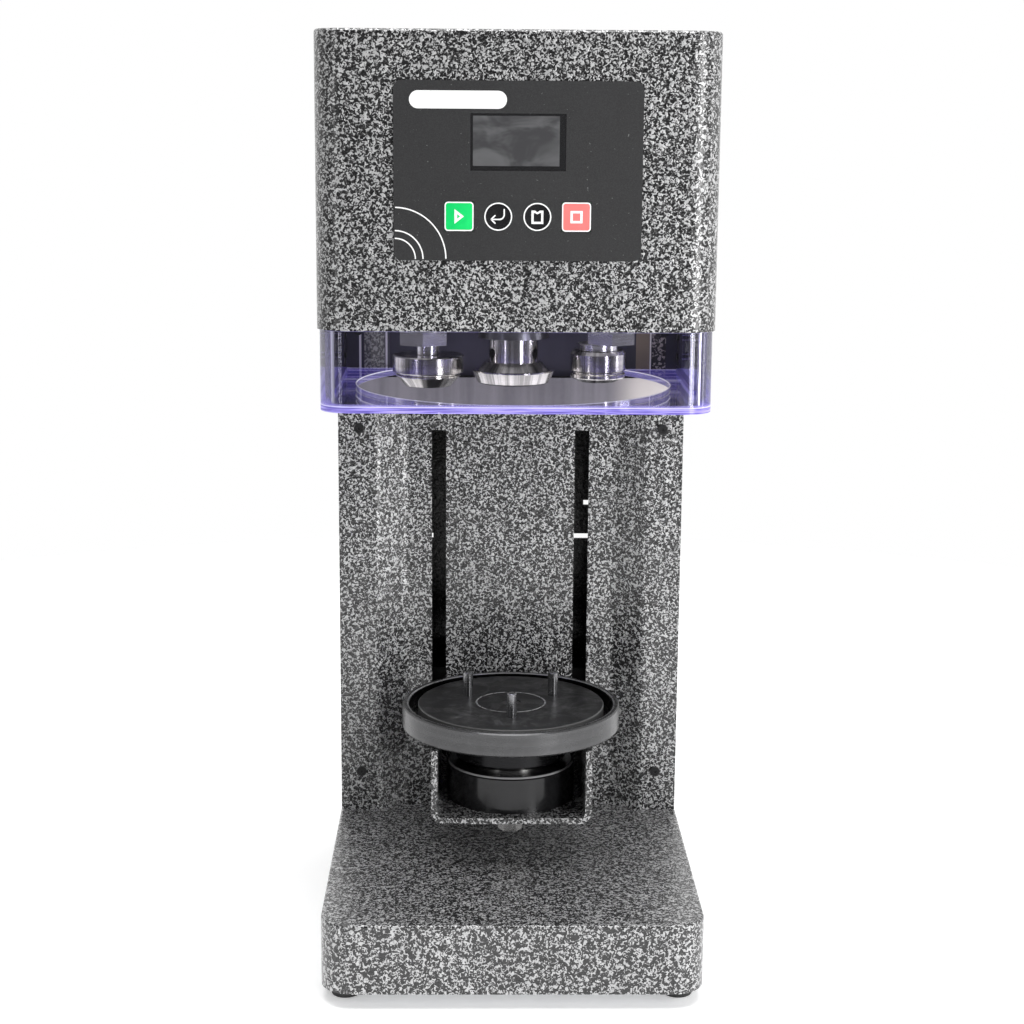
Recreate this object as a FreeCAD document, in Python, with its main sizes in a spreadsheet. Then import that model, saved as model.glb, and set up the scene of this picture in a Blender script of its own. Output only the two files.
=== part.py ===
import FreeCAD, Part
import Sketcher
import math
import os
import re

# Automatic can seamer, bench type: sheet-metal base, column and head, a screw-driven
# lift table, a powered seaming chuck and two roller arms behind a clear guard.
# Millimetres. Origin: under the centre of the base, on the plane the feet stand on.
# +Z up, the operator stands on the -Y side, +X is the operator's right.

os.makedirs("parts", exist_ok=True)
V = FreeCAD.Vector
doc = FreeCAD.newDocument("can_seamer")

# ---------------------------------------------------------------- dimensions
DIMS = [
    ("half_w", 120.0), ("y_front", 150.0), ("y_back", 150.0), ("foot_h", 10.0),
    ("base_top", 55.4), ("base_r", 20.0), ("wall", 2.0),
    ("foot_x", 105.0), ("foot_yf", 124.0), ("foot_yb", 126.0), ("foot_r", 10.0),
    ("col_half", 119.5), ("col_front", 60.5), ("col_back", 148.0),
    ("trough_y", 72.0), ("trough_half", 73.5), ("flat_half", 93.0),
    ("slot_x", 50.0), ("slot_w", 10.0), ("slot_top", 329.0), ("slot_bot", 86.0),
    ("apron_lo", 345.0), ("apron_hi", 367.5), ("chamber_top", 404.0),
    ("head_front", 121.5), ("head_bot", 419.3), ("head_top", 594.6), ("head_r", 18.0),
    ("plate_t", 10.0),
    ("guard_half", 118.5), ("guard_lo", 370.0), ("guard_floor_t", 4.0),
    ("guard_wall", 3.0), ("guard_r", 18.0), ("guard_hole_r", 102.0),
    ("axis_y", 11.0), ("drive_y", 112.0), ("rod_x", 72.0), ("rod_r", 7.0),
    ("screw_r", 6.0),
    ("table_r", 73.0), ("disc_r", 62.5), ("table_top", 157.5), ("rim_low", 141.5),
    ("neck_r", 37.65), ("neck_low", 121.7), ("lifter_r", 43.15), ("lifter_top", 118.0),
    ("bracket_half", 52.5), ("bracket_t", 4.0), ("bracket_low", 89.0),
    ("bracket_high", 139.0), ("bracket_front", 62.0),
    ("pin_circle", 33.4), ("pin_r", 3.4), ("pin_top", 173.4),
    ("chuck_low", 374.5), ("chuck_lip_r", 26.45), ("chuck_foot_r", 23.9),
    ("nose_r", 16.25), ("shaft_r", 10.0), ("run_gap", 0.05),
    ("arm_low", 408.0), ("arm_t", 10.0), ("pivot_x", 60.0), ("pivot_y", 40.0),
    ("cam_y", 60.0), ("cam_r", 16.0), ("cam_throw", 10.0), ("tail_face", 17.6),
    ("first_x", 55.4), ("second_x", 55.0),
    ("panel_w", 146.0), ("panel_h", 104.0), ("panel_z", 513.5), ("panel_t", 0.8),
    ("win_w", 56.0), ("win_h", 33.0), ("win_z", 530.3),
    ("key_z", 487.3), ("key_sq", 17.0), ("key_r", 8.2),
    ("key_out", 34.5), ("key_in", 11.5), ("key_gap", 0.3),
]
sheet = doc.addObject("Spreadsheet::Sheet", "Dims")
VAL = {}
for row, (alias, value) in enumerate(DIMS, start=1):
    sheet.set("A%d" % row, alias)
    sheet.set("B%d" % row, str(value))
    sheet.setAlias("B%d" % row, alias)
    VAL[alias] = float(value)
doc.recompute()


def num(e):
    """Value of a length written as a number or as sums and products of sheet aliases."""
    if not isinstance(e, str):
        return float(e)
    tok = re.findall(r"[A-Za-z_]\w*|\d+\.?\d*|[-+*/()]", e)
    pos = [0]

    def atom():
        t = tok[pos[0]]
        pos[0] += 1
        if t == "(":
            v = total()
            pos[0] += 1
            return v
        if t == "-":
            return -atom()
        if t == "+":
            return atom()
        if t[0].isdigit():
            return float(t)
        return VAL[t]

    def product():
        v = atom()
        while pos[0] < len(tok) and tok[pos[0]] in "*/":
            op = tok[pos[0]]
            pos[0] += 1
            w = atom()
            v = v * w if op == "*" else v / w
        return v

    def total():
        v = product()
        while pos[0] < len(tok) and tok[pos[0]] in "+-":
            op = tok[pos[0]]
            pos[0] += 1
            w = product()
            v = v + w if op == "+" else v - w
        return v

    return total()


def bound(e):
    return re.sub(r"[A-Za-z_]\w*", lambda m: "Dims." + m.group(0), e)


def bind(obj, prop, e):
    if isinstance(e, str) and re.search(r"[A-Za-z]", e):
        obj.setExpression(prop, bound(e))


NODES = []


def node(obj, name):
    obj.Label = name
    NODES.append((name, obj))
    return obj


# ---------------------------------------------------------------- part design helpers
def new_body(name, x=0, y=0, z=0):
    b = doc.addObject("PartDesign::Body", "B_" + name)
    b.Placement = FreeCAD.Placement(V(num(x), num(y), num(z)), FreeCAD.Rotation())
    for axis, e in (("x", x), ("y", y), ("z", z)):
        bind(b, "Placement.Base." + axis, e)
    node(b, name)
    return b


def origin_of(b, role):
    for f in b.Origin.OriginFeatures:
        if f.Role == role:
            return f
    raise RuntimeError("no " + role)


def sketch(b, name, role="XY_Plane", offset=0):
    s = b.newObject("Sketcher::SketchObject", name)
    s.AttachmentSupport = (origin_of(b, role), [""])
    s.MapMode = "FlatFace"
    s.AttachmentOffset = FreeCAD.Placement(V(0, 0, num(offset)), FreeCAD.Rotation())
    bind(s, "AttachmentOffset.Base.z", offset)
    return s


def pin_point(s, geo, pos, x, y):
    for kind, axis, e in (("DistanceX", -2, x), ("DistanceY", -1, y)):
        v = num(e)
        if abs(v) < 1e-9:
            s.addConstraint(Sketcher.Constraint("PointOnObject", geo, pos, axis))
        else:
            i = s.addConstraint(Sketcher.Constraint(kind, -1, 1, geo, pos, v))
            bind(s, "Constraints[%d]" % i, e)


def poly(s, pts):
    n0 = s.GeometryCount
    p = [V(num(x), num(y), 0) for x, y in pts]
    n = len(p)
    for i in range(n):
        s.addGeometry(Part.LineSegment(p[i], p[(i + 1) % n]), False)
    for i in range(n):
        s.addConstraint(Sketcher.Constraint("Coincident", n0 + i, 2, n0 + (i + 1) % n, 1))
    for i in range(n):
        pin_point(s, n0 + i, 1, pts[i][0], pts[i][1])


def rect(s, x0, y0, x1, y1):
    poly(s, [(x0, y0), (x1, y0), (x1, y1), (x0, y1)])


def rrect(s, x0, y0, x1, y1, r):
    """Rectangle whose two front corners (at y0) are rounded with radius r."""
    n = s.GeometryCount
    a0, b0, a1, b1, rr = num(x0), num(y0), num(x1), num(y1), num(r)
    lines = [((a0 + rr, b0), (a1 - rr, b0)), ((a1, b0 + rr), (a1, b1)), ((a1, b1), (a0, b1)), ((a0, b1), (a0, b0 + rr))]
    for p, q in lines:
        s.addGeometry(Part.LineSegment(V(p[0], p[1], 0), V(q[0], q[1], 0)), False)
    s.addGeometry(Part.ArcOfCircle(Part.Circle(V(a1 - rr, b0 + rr, 0), V(0, 0, 1), rr), -math.pi / 2, 0), False)
    s.addGeometry(Part.ArcOfCircle(Part.Circle(V(a0 + rr, b0 + rr, 0), V(0, 0, 1), rr), math.pi, 1.5 * math.pi), False)
    C = Sketcher.Constraint
    for c in (C("Horizontal", n), C("Horizontal", n + 2), C("Vertical", n + 1), C("Vertical", n + 3),
              C("Coincident", n + 1, 2, n + 2, 1), C("Coincident", n + 2, 2, n + 3, 1),
              C("Tangent", n, 2, n + 4, 1), C("Tangent", n + 4, 2, n + 1, 1),
              C("Tangent", n + 3, 2, n + 5, 1), C("Tangent", n + 5, 2, n, 1)):
        s.addConstraint(c)
    for g in (n + 4, n + 5):
        i = s.addConstraint(C("Radius", g, rr))
        bind(s, "Constraints[%d]" % i, r)
    i = s.addConstraint(C("DistanceY", -1, 1, n, 1, b0))
    bind(s, "Constraints[%d]" % i, y0)
    pin_point(s, n + 2, 2, x0, y1)
    i = s.addConstraint(C("DistanceX", -1, 1, n + 2, 1, a1))
    bind(s, "Constraints[%d]" % i, x1)


def circle(s, x, y, r):
    g = s.addGeometry(Part.Circle(V(num(x), num(y), 0), V(0, 0, 1), num(r)), False)
    i = s.addConstraint(Sketcher.Constraint("Radius", g, num(r)))
    bind(s, "Constraints[%d]" % i, r)
    pin_point(s, g, 3, x, y)


def pad(b, s, length, rev=False):
    p = b.newObject("PartDesign::Pad", "Pad")
    p.Profile = s
    p.Length = num(length)
    bind(p, "Length", length)
    p.Reversed = rev
    return p


def pocket(b, s, length=None, rev=False, mid=False):
    before = volume(b)
    p = b.newObject("PartDesign::Pocket", "Pocket")
    p.Profile = s
    if length is None:
        p.Type = "ThroughAll"
    else:
        p.Length = num(length)
        bind(p, "Length", length)
    p.Reversed = rev
    p.Midplane = mid
    if volume(b) > before - 1e-3:
        raise RuntimeError("pocket cut nothing in " + b.Label)
    return p


def volume(b):
    doc.recompute()
    return b.Shape.Volume


def turned(b, pts, name="Profile"):
    """Solid of revolution about the body's Z axis from (radius, height) points."""
    s = sketch(b, name, "XZ_Plane")
    poly(s, pts)
    r = b.newObject("PartDesign::Revolution", "Turned")
    r.Profile = s
    r.ReferenceAxis = (s, ["V_Axis"])
    r.Angle = 360
    return r


def pick(b, test):
    doc.recompute()
    out = []
    for i, e in enumerate(b.Tip.Shape.Edges, start=1):
        if test(e):
            out.append("Edge%d" % i)
    if not out:
        raise RuntimeError("no edge found in " + b.Label)
    return out


def round_edges(b, radius, test, kind="PartDesign::Fillet"):
    names = pick(b, test)
    base = b.Tip
    f = b.newObject(kind, "Edge")
    f.Base = (base, names)
    if kind.endswith("Fillet"):
        f.Radius = num(radius)
        bind(f, "Radius", radius)
    else:
        f.Size = num(radius)
        bind(f, "Size", radius)
    return f


def upright(points, tol=0.05):
    """Vertical edges standing over any of the given (x, y) points."""
    want = [(num(x), num(y)) for x, y in points]

    def test(e):
        bb = e.BoundBox
        if bb.ZLength < 1 or bb.XLength > tol or bb.YLength > tol:
            return False
        return any(abs(bb.Center.x - x) < tol and abs(bb.Center.y - y) < tol for x, y in want)

    return test


def along_y(points, tol=0.05):
    want = [(num(x), num(z)) for x, z in points]

    def test(e):
        bb = e.BoundBox
        if bb.YLength < 1 or bb.XLength > tol or bb.ZLength > tol:
            return False
        return any(abs(bb.Center.x - x) < tol and abs(bb.Center.z - z) < tol for x, z in want)

    return test


def level(z, tol=0.02):
    zz = num(z)
    return lambda e: e.BoundBox.ZLength < tol and abs(e.BoundBox.Center.z - zz) < tol


# ---------------------------------------------------------------- primitive helpers
UP, DOWN = V(0, 0, 1), V(0, 0, -1)
LEFT, RIGHT, FRONT, BACK = V(-1, 0, 0), V(1, 0, 0), V(0, -1, 0), V(0, 1, 0)


def place(o, x, y, z, axis=UP):
    o.Placement = FreeCAD.Placement(V(num(x), num(y), num(z)), FreeCAD.Rotation(UP, axis))
    for k, e in (("x", x), ("y", y), ("z", z)):
        bind(o, "Placement.Base." + k, e)
    return o


def cyl(r, h, x, y, z, axis=UP):
    o = doc.addObject("Part::Cylinder", "Cyl")
    o.Radius = num(r)
    o.Height = num(h)
    bind(o, "Radius", r)
    bind(o, "Height", h)
    return place(o, x, y, z, axis)


def cone(r1, r2, h, x, y, z, axis=UP):
    o = doc.addObject("Part::Cone", "Cone")
    o.Radius1 = num(r1)
    o.Radius2 = num(r2)
    o.Height = num(h)
    return place(o, x, y, z, axis)


def box(x0, y0, z0, lx, ly, lz):
    o = doc.addObject("Part::Box", "Box")
    for k, e in (("Length", lx), ("Width", ly), ("Height", lz)):
        setattr(o, k, num(e))
        bind(o, k, e)
    return place(o, x0, y0, z0)


def hexagon(across, h, x, y, z, axis=UP, turn=30):
    o = doc.addObject("Part::Prism", "Hex")
    o.Polygon = 6
    o.Circumradius = num(across) / math.sqrt(3)
    o.Height = num(h)
    place(o, x, y, z, axis)
    o.Placement = FreeCAD.Placement(
        V(num(x), num(y), num(z)),
        FreeCAD.Rotation(UP, axis).multiply(FreeCAD.Rotation(UP, turn)))
    for k, e in (("x", x), ("y", y), ("z", z)):
        bind(o, "Placement.Base." + k, e)
    return o


def fuse(*parts):
    o = doc.addObject("Part::MultiFuse", "Fuse")
    o.Shapes = list(parts)
    return o


def cut(base, *tools):
    o = doc.addObject("Part::Cut", "Cut")
    o.Base = base
    o.Tool = tools[0] if len(tools) == 1 else fuse(*tools)
    return o


def group(name, parts):
    o = doc.addObject("Part::Compound", "Group")
    o.Links = list(parts)
    return node(o, name)


def screw(x, y, z, axis, head_r, head_h, shank_r, shank_l, key):
    """Socket screw: the seat under its head is at x, y, z and the shank runs along axis."""
    sx, sy, sz = num(x), num(y), num(z)
    a = V(axis)
    p = V(sx, sy, sz)
    q = p - a * head_h
    head = cyl(head_r, head_h, p.x, p.y, p.z, a * -1)
    shank = cyl(shank_r, shank_l, p.x, p.y, p.z, a)
    k = hexagon(key, head_h * 0.55, q.x, q.y, q.z, a)
    return cut(fuse(head, shank), k)


# ================================================================ base
b = new_body("base_housing")
s = sketch(b, "Outline", offset="foot_h")
rect(s, "-half_w", "-y_front", "half_w", "y_back")
pad(b, s, "base_top - foot_h")
round_edges(b, "base_r", upright([("-half_w", "-y_front"), ("half_w", "-y_front")]))
round_edges(b, 4, upright([("-half_w", "y_back"), ("half_w", "y_back")]))
round_edges(b, 1.6, level("base_top"))
s = sketch(b, "Hollow", offset="foot_h")
rrect(s, "wall - half_w", "wall - y_front", "half_w - wall", "y_back - wall", "base_r - wall")
pocket(b, s, "base_top - foot_h - wall", rev=True)
s = sketch(b, "TopHoles", offset="base_top")
circle(s, 0, "drive_y", 19.2)
for sx in (-1, 1):
    circle(s, sx * 72.0, "drive_y", 3.0)
    for yy in (90, 134):
        circle(s, sx * 106.0, yy, 3.0)
circle(s, -92, 112, 9)
pocket(b, s, "wall + 1")

b = new_body("base_plate")
s = sketch(b, "Outline", offset="foot_h")
rect(s, "wall - half_w + 0.2", "wall - y_front + 0.2", "half_w - wall - 0.2", "y_back - wall - 0.2")
pad(b, s, 16)
round_edges(b, "base_r - wall - 0.2", upright([("wall - half_w + 0.2", "wall - y_front + 0.2"), ("half_w - wall - 0.2", "wall - y_front + 0.2")]))
s = sketch(b, "Tray", offset="foot_h + 2")
rrect(s, "wall - half_w + 2.2", "wall - y_front + 2.2", "half_w - wall - 2.2", "y_back - wall - 2.2", "base_r - wall - 2.2")
pocket(b, s, 30, rev=True)
s = sketch(b, "FootHoles", offset="foot_h")
for sx in (-1, 1):
    circle(s, sx * 105.0, "-foot_yf", 2.0)
    circle(s, sx * 105.0, "foot_yb", 2.0)
pocket(b, s, 3, rev=True)
s = sketch(b, "Vent", offset="foot_h")
rect(s, -40, -60, 40, -56)
vent = pocket(b, s, 3, rev=True)
lp = b.newObject("PartDesign::LinearPattern", "Vents")
lp.Originals = [vent]
lp.Direction = (origin_of(b, "Y_Axis"), [""])
lp.Length = 60
lp.Occurrences = 6
b.Tip = lp

feet = []
for x in ("-foot_x", "foot_x"):
    for y in ("-foot_yf", "foot_yb"):
        feet.append(cut(fuse(cyl("foot_r", 8, x, y, 2), cone(9.0, 10.0, 2, x, y, 0)),
                        cyl(4.6, 5, x, y, 0), cyl(2.0, 10, x, y, 0)))
group("rubber_feet", feet)

# ================================================================ column
b = new_body("column_shell")
s = sketch(b, "Section", offset="base_top")
poly(s, [("-97", "col_front + wall"), ("-col_half", "col_front + wall"), ("-col_half", "col_back"),
         ("col_half", "col_back"), ("col_half", "col_front + wall"), ("97", "col_front + wall"),
         ("97", "col_front + 2*wall"), ("col_half - wall", "col_front + 2*wall"),
         ("col_half - wall", "col_back - wall"), ("wall - col_half", "col_back - wall"),
         ("wall - col_half", "col_front + 2*wall"), ("-97", "col_front + 2*wall")])
pad(b, s, "head_bot - base_top")
round_edges(b, 4, upright([("-col_half", "col_back"), ("col_half", "col_back")]))
round_edges(b, 2, upright([("wall - col_half", "col_back - wall"), ("col_half - wall", "col_back - wall")]))
# fixing flanges folded in at the foot and at the top of both sides
for z0 in ("base_top", "head_bot - wall"):
    for sx in (-1, 1):
        s = sketch(b, "Flange", offset=z0)
        if sx < 0:
            rect(s, "wall - col_half - 0.5", 80, "wall - col_half + 20", 142)
        else:
            rect(s, "col_half - wall - 20", 80, "col_half - wall + 0.5", 142)
        pad(b, s, "wall")
s = sketch(b, "FlangeHoles", offset="head_bot + 1")
for sx in (-1, 1):
    for yy in (90, 134):
        circle(s, sx * 106.0, yy, 3.0)
pocket(b, s)
# narrow vents in the rear wall, and the screw holes of the front flanges
s = sketch(b, "Vents", "XZ_Plane", offset="-col_back - 1")
for z0 in (236.2, 261.5):
    right0 = 40 if z0 < 250 else 55.4
    left1 = -55.6 if z0 < 250 else -58
    rect(s, right0, z0, 84, z0 + 3.6)
    rect(s, -97, z0, left1, z0 + 3.6)
for z0 in (300, 325, 350, 375):
    rect(s, -30, z0, 30, z0 + 3.6)
pocket(b, s, 5, rev=True)
s = sketch(b, "PanelHoles", "XZ_Plane", offset="-col_front")
for sx in (-1, 1):
    for zz in (84, 332, 350, 400):
        circle(s, sx * (112.0 if zz == 350 else 105.0), zz, 2.0)
pocket(b, s, 8)

b = new_body("column_front_panel")
s = sketch(b, "Section", offset="base_top")
poly(s, [("-col_half", "col_front"), ("-flat_half", "col_front"), ("-trough_half", "trough_y"),
         ("trough_half", "trough_y"), ("flat_half", "col_front"), ("col_half", "col_front"),
         ("col_half", "col_front + wall"), ("flat_half + 0.5", "col_front + wall"),
         ("trough_half + 0.5", "trough_y + wall"), ("-trough_half - 0.5", "trough_y + wall"),
         ("-flat_half - 0.5", "col_front + wall"), ("-col_half", "col_front + wall")])
pad(b, s, "apron_lo - base_top")
round_edges(b, 9, upright([("-flat_half", "col_front"), ("flat_half", "col_front"),
                           ("trough_half + 0.5", "trough_y + wall"), ("-trough_half - 0.5", "trough_y + wall")]))
round_edges(b, 7, upright([("trough_half", "trough_y"), ("-trough_half", "trough_y"),
                           ("flat_half + 0.5", "col_front + wall"), ("-flat_half - 0.5", "col_front + wall")]))
s = sketch(b, "Slots", "XZ_Plane", offset="-col_front + 2")
rect(s, "slot_x - slot_w/2", "slot_bot", "slot_x + slot_w/2", "slot_top")
rect(s, "-slot_x - slot_w/2", "slot_bot", "slot_w/2 - slot_x", "slot_top")
pocket(b, s, 30)
s = sketch(b, "ScrewHoles", "XZ_Plane", offset="-col_front + 1")
for sx in (-1, 1):
    for zz in (84, 332):
        circle(s, sx * 105.0, zz, 2.0)
pocket(b, s, 5)

b = new_body("splash_apron")
s = sketch(b, "Outline", "XZ_Plane", offset="-col_front - wall")
rect(s, "-col_half", "apron_lo", "col_half", "apron_hi")
pad(b, s, "wall")
s = sketch(b, "Holes", "XZ_Plane", offset="-col_front + 1")
for sx in (-1, 1):
    circle(s, sx * 112.0, 350, 2.0)
pocket(b, s, 5)

b = new_body("chamber_back_plate")
s = sketch(b, "Section", offset="apron_hi")
poly(s, [("-col_half", "col_front"), ("-96", "col_front"), ("-84", 70.5), ("80", 70.5),
         ("94", "col_front"), ("col_half", "col_front"), ("col_half", "col_front + wall"),
         ("94.6", "col_front + wall"), ("80.6", 72.5), ("-84.6", 72.5),
         ("-96.6", "col_front + wall"), ("-col_half", "col_front + wall")])
pad(b, s, "chamber_top - apron_hi")
round_edges(b, 3, upright([("-96", "col_front"), ("94", "col_front"), ("80.6", 72.5), ("-84.6", 72.5)]))
# ears folded forward along the guard's side walls
for sx in (-1, 1):
    s = sketch(b, "Ear", offset="guard_lo + guard_floor_t + 3")
    x0, x1 = ("guard_half - guard_wall - 1.8", "guard_half - guard_wall - 0.1")
    if sx > 0:
        rect(s, x0, 42, x1, "col_front + 0.5")
    else:
        rect(s, "-(" + x1 + ")", 42, "-(" + x0 + ")", "col_front + 0.5")
    pad(b, s, 26)
s = sketch(b, "EarHoles", "YZ_Plane", offset=-130)
for yy, zz in ((50, 384), (50, 397)):
    circle(s, yy, zz, 2.0)
pocket(b, s, 260, rev=True)
s = sketch(b, "Holes", "XZ_Plane", offset="-col_front + 1")
for sx in (-1, 1):
    circle(s, sx * 105.0, 400, 2.0)
pocket(b, s, 5)

rods = []
for x in ("-rod_x", "rod_x"):
    rods.append(cut(cyl("rod_r", "head_bot - base_top", x, "drive_y", "base_top"),
                    cyl(3.0, 20, x, "drive_y", "base_top"), cyl(3.0, 20, x, "drive_y", "head_bot - 20")))
group("guide_rods", rods)

blocks = []
for z0 in (92, 356):
    blocks.append(cut(box(-22, 100, z0, 44, "col_back - wall - 100", 12),
                      cyl("5 + run_gap", 14, 0, "drive_y", z0 - 1)))
group("screw_bearing_blocks", blocks)

switches = []
for z0 in (90, 338):
    switches.append(cut(fuse(box(92, 108, z0, 21, 7, 12), box(112, 106, z0 - 3, "col_half - wall - 112", 14, 18),
                             box(93, 110, z0 + (11 if z0 < 200 else -2), 12, 3, 3)),
                        cyl(1.5, 20, 97, 104, z0 + 4, BACK)))
group("limit_switches", switches)

# ================================================================ lift drive in the base
b = new_body("lift_motor", 0, "drive_y", 0)
s = sketch(b, "Square", offset=14.4)
rect(s, -28.2, -28.2, 28.2, 28.2)
pad(b, s, 39)
round_edges(b, 4.5, upright([(-28.2, -28.2), (28.2, -28.2), (-28.2, 28.2), (28.2, 28.2)]), "PartDesign::Chamfer")
s = sketch(b, "Pilot", offset=53.4)
circle(s, 0, 0, 19.05)
pad(b, s, 1.6)
s = sketch(b, "ShaftBore", offset=55.0)
circle(s, 0, 0, "5 + run_gap")
pocket(b, s, 20)
s = sketch(b, "Seam", "XZ_Plane", offset=29)
rect(s, -30, 24, 30, 25)
pocket(b, s, 1.6)

# ================================================================ head
b = new_body("head_main_plate")
s = sketch(b, "Outline", offset="head_bot")
rect(s, "wall - half_w + 0.3", "wall - head_front + 0.3", "half_w - wall - 0.3", "col_back - wall - 0.3")
pad(b, s, "plate_t")
round_edges(b, "head_r - wall - 0.3", upright([("wall - half_w + 0.3", "wall - head_front + 0.3"), ("half_w - wall - 0.3", "wall - head_front + 0.3")]))
s = sketch(b, "Bores", offset="head_bot")
circle(s, 0, "-axis_y", 23.05)
circle(s, 0, "cam_y", 8)
circle(s, "pivot_x", "pivot_y", 5)
circle(s, "-pivot_x", "pivot_y", 5)
for sx in (-1, 1):
    circle(s, sx * 72.0, "drive_y", 3.0)
    for yy in (90, 134):
        circle(s, sx * 106.0, yy, 3.0)
circle(s, 96, 40, 9)
pocket(b, s, rev=True)
s = sketch(b, "FlangeHole", offset="head_bot")
circle(s, 24.75, "24.75 - axis_y", 3.0)
circle(s, -24.75, "24.75 - axis_y", 3.0)
circle(s, 24.75, "-24.75 - axis_y", 3.0)
circle(s, -24.75, "-24.75 - axis_y", 3.0)
pocket(b, s, rev=True)
s = sketch(b, "SideHoles", "YZ_Plane", offset=-130)
for yy in (-80, 20, 110):
    circle(s, yy, "head_bot + 5", 2.0)
pocket(b, s, 260, rev=True)

b = new_body("head_cover")
s = sketch(b, "Outline", offset="head_bot")
rect(s, "-half_w", "-head_front", "half_w", "col_back")
pad(b, s, "head_top - head_bot")
round_edges(b, "head_r", upright([("-half_w", "-head_front"), ("half_w", "-head_front")]))
round_edges(b, 4, upright([("-half_w", "col_back"), ("half_w", "col_back")]))
round_edges(b, 2.2, level("head_top"))
s = sketch(b, "Hollow", offset="head_bot")
rrect(s, "wall - half_w", "wall - head_front", "half_w - wall", "col_back - wall", "head_r - wall")
pocket(b, s, "head_top - head_bot - wall", rev=True)
s = sketch(b, "Window", "XZ_Plane", offset="head_front + 1")
rect(s, "-win_w/2", "win_z - win_h/2", "win_w/2", "win_z + win_h/2")
for kx in ("key_out", "-key_out"):
    rect(s, kx + " - key_sq/2 - key_gap", "key_z - key_sq/2 - key_gap", kx + " + key_sq/2 + key_gap", "key_z + key_sq/2 + key_gap")
for kx in ("key_in", "-key_in"):
    circle(s, kx, "key_z", "key_r + key_gap")
pocket(b, s, 6)
s = sketch(b, "RearCutouts", "XZ_Plane", offset="-col_back - 1")
rect(s, -85, 445, -57, 473)
pocket(b, s, 6, rev=True)
s = sketch(b, "Vent", "XZ_Plane", offset="-col_back - 1")
rect(s, -70, 500, 70, 504)
vent = pocket(b, s, 6, rev=True)
lp = b.newObject("PartDesign::LinearPattern", "RearVents")
lp.Originals = [vent]
lp.Direction = (origin_of(b, "Z_Axis"), [""])
lp.Length = 70
lp.Occurrences = 8
b.Tip = lp
s = sketch(b, "SideHoles", "YZ_Plane", offset=-130)
for yy in (-80, 20, 110):
    circle(s, yy, "head_bot + 5", 3.6)
pocket(b, s, 260, rev=True)

# ================================================================ clear guard
b = new_body("guard_shell")
s = sketch(b, "Outline", offset="guard_lo + guard_floor_t")
rect(s, "-guard_half", "-head_front", "guard_half", "col_front - 0.3")
pad(b, s, "head_bot - guard_lo - guard_floor_t - 0.3")
round_edges(b, "guard_r", upright([("-guard_half", "-head_front"), ("guard_half", "-head_front")]))
s = sketch(b, "Inside", offset="guard_lo + guard_floor_t")
rrect(s, "guard_wall - guard_half", "guard_wall - head_front", "guard_half - guard_wall", "col_front + 5", "guard_r - guard_wall")
pocket(b, s, rev=True)
s = sketch(b, "ScrewHoles", "YZ_Plane", offset=-130)
for yy, zz in ((50, 384), (50, 397)):
    circle(s, yy, zz, 2.0)
pocket(b, s, 260, rev=True)

b = new_body("guard_floor")
s = sketch(b, "Outline", offset="guard_lo")
rect(s, "-guard_half", "-head_front", "guard_half", "col_front - 0.3")
pad(b, s, "guard_floor_t")
round_edges(b, "guard_r", upright([("-guard_half", "-head_front"), ("guard_half", "-head_front")]))
s = sketch(b, "CanHole", offset="guard_lo")
circle(s, 0, "-axis_y", "guard_hole_r")
pocket(b, s, rev=True)

strips = []
for x0 in ("guard_wall - guard_half", "guard_half - guard_wall - 4"):
    strips.append(box(x0, -65, "guard_lo + guard_floor_t", 4, 105, 3))
group("guard_corner_strips", strips)

# ================================================================ seaming spindle
b = new_body("spindle_housing", 0, "-axis_y", 0)
turned(b, [(21, 404), (23, 404), (23, "head_bot + plate_t"), (40, "head_bot + plate_t"), (40, 437), (28, 437),
           (28, 461), (21, 461), (21, 447), (18, 447), (18, 420.5), (21, 420.5)])
doc.recompute()
s = sketch(b, "ScrewHole", offset=437)
circle(s, 24.75, 24.75, 3.0)
h = pocket(b, s, 12)
pp = b.newObject("PartDesign::PolarPattern", "ScrewHoles")
pp.Originals = [h]
pp.Axis = (origin_of(b, "Z_Axis"), [""])
pp.Angle = 360
pp.Occurrences = 4
b.Tip = pp

rings = []
for z0 in (408.5, 447.5):
    rings.append(cut(cyl(21, 12, 0, "-axis_y", z0), cyl("shaft_r + run_gap", 14, 0, "-axis_y", z0 - 1)))
group("spindle_bearings", rings)

b = new_body("spindle_shaft", 0, "-axis_y", 0)
turned(b, [(4, 388.2), ("nose_r", 388.2), ("nose_r", 403.5), (12, 403.5), (12, 408), ("shaft_r", 408), ("shaft_r", 463),
           (8, 464), (8, 520), (0, 520), (0, 404), (4, 404)])
doc.recompute()
s = sketch(b, "TommyHole", "XZ_Plane")
circle(s, 0, 394.0, 3.5)
h = pocket(b, s, 20)
pp = b.newObject("PartDesign::PolarPattern", "TommyHoles")
pp.Originals = [h]
pp.Axis = (origin_of(b, "Z_Axis"), [""])
pp.Angle = 360
pp.Occurrences = 3
b.Tip = pp

b = new_body("seaming_chuck", 0, "-axis_y", 0)
turned(b, [(4, 380.5), (9, 380.5), (9, "chuck_low"), (22.9, "chuck_low"), ("chuck_foot_r", 375.3), ("chuck_lip_r", 382.2),
           ("chuck_lip_r", 383), (23.4, 383), (18.3, 388.2), (4, 388.2)])

group("chuck_screw", [cut(fuse(cyl(7.2, 4.6, 0, "-axis_y", 375.9), cyl(4, 20, 0, "-axis_y", 380.5)),
                          hexagon(6, 3, 0, "-axis_y", 375.9))])

b = new_body("motor_mount", 0, "-axis_y", 0)
s = sketch(b, "Plate", offset=494)
rect(s, -44, -44, 44, 44)
pad(b, s, 8)
s = sketch(b, "Legs", offset=494)
for sx in (-1, 1):
    for sy in (-1, 1):
        circle(s, sx * 36, sy * 36, 6)
pad(b, s, "494 - head_bot - plate_t", rev=True)
s = sketch(b, "Bore", offset=502)
circle(s, 0, 0, 16.2)
pocket(b, s, 10)

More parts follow.
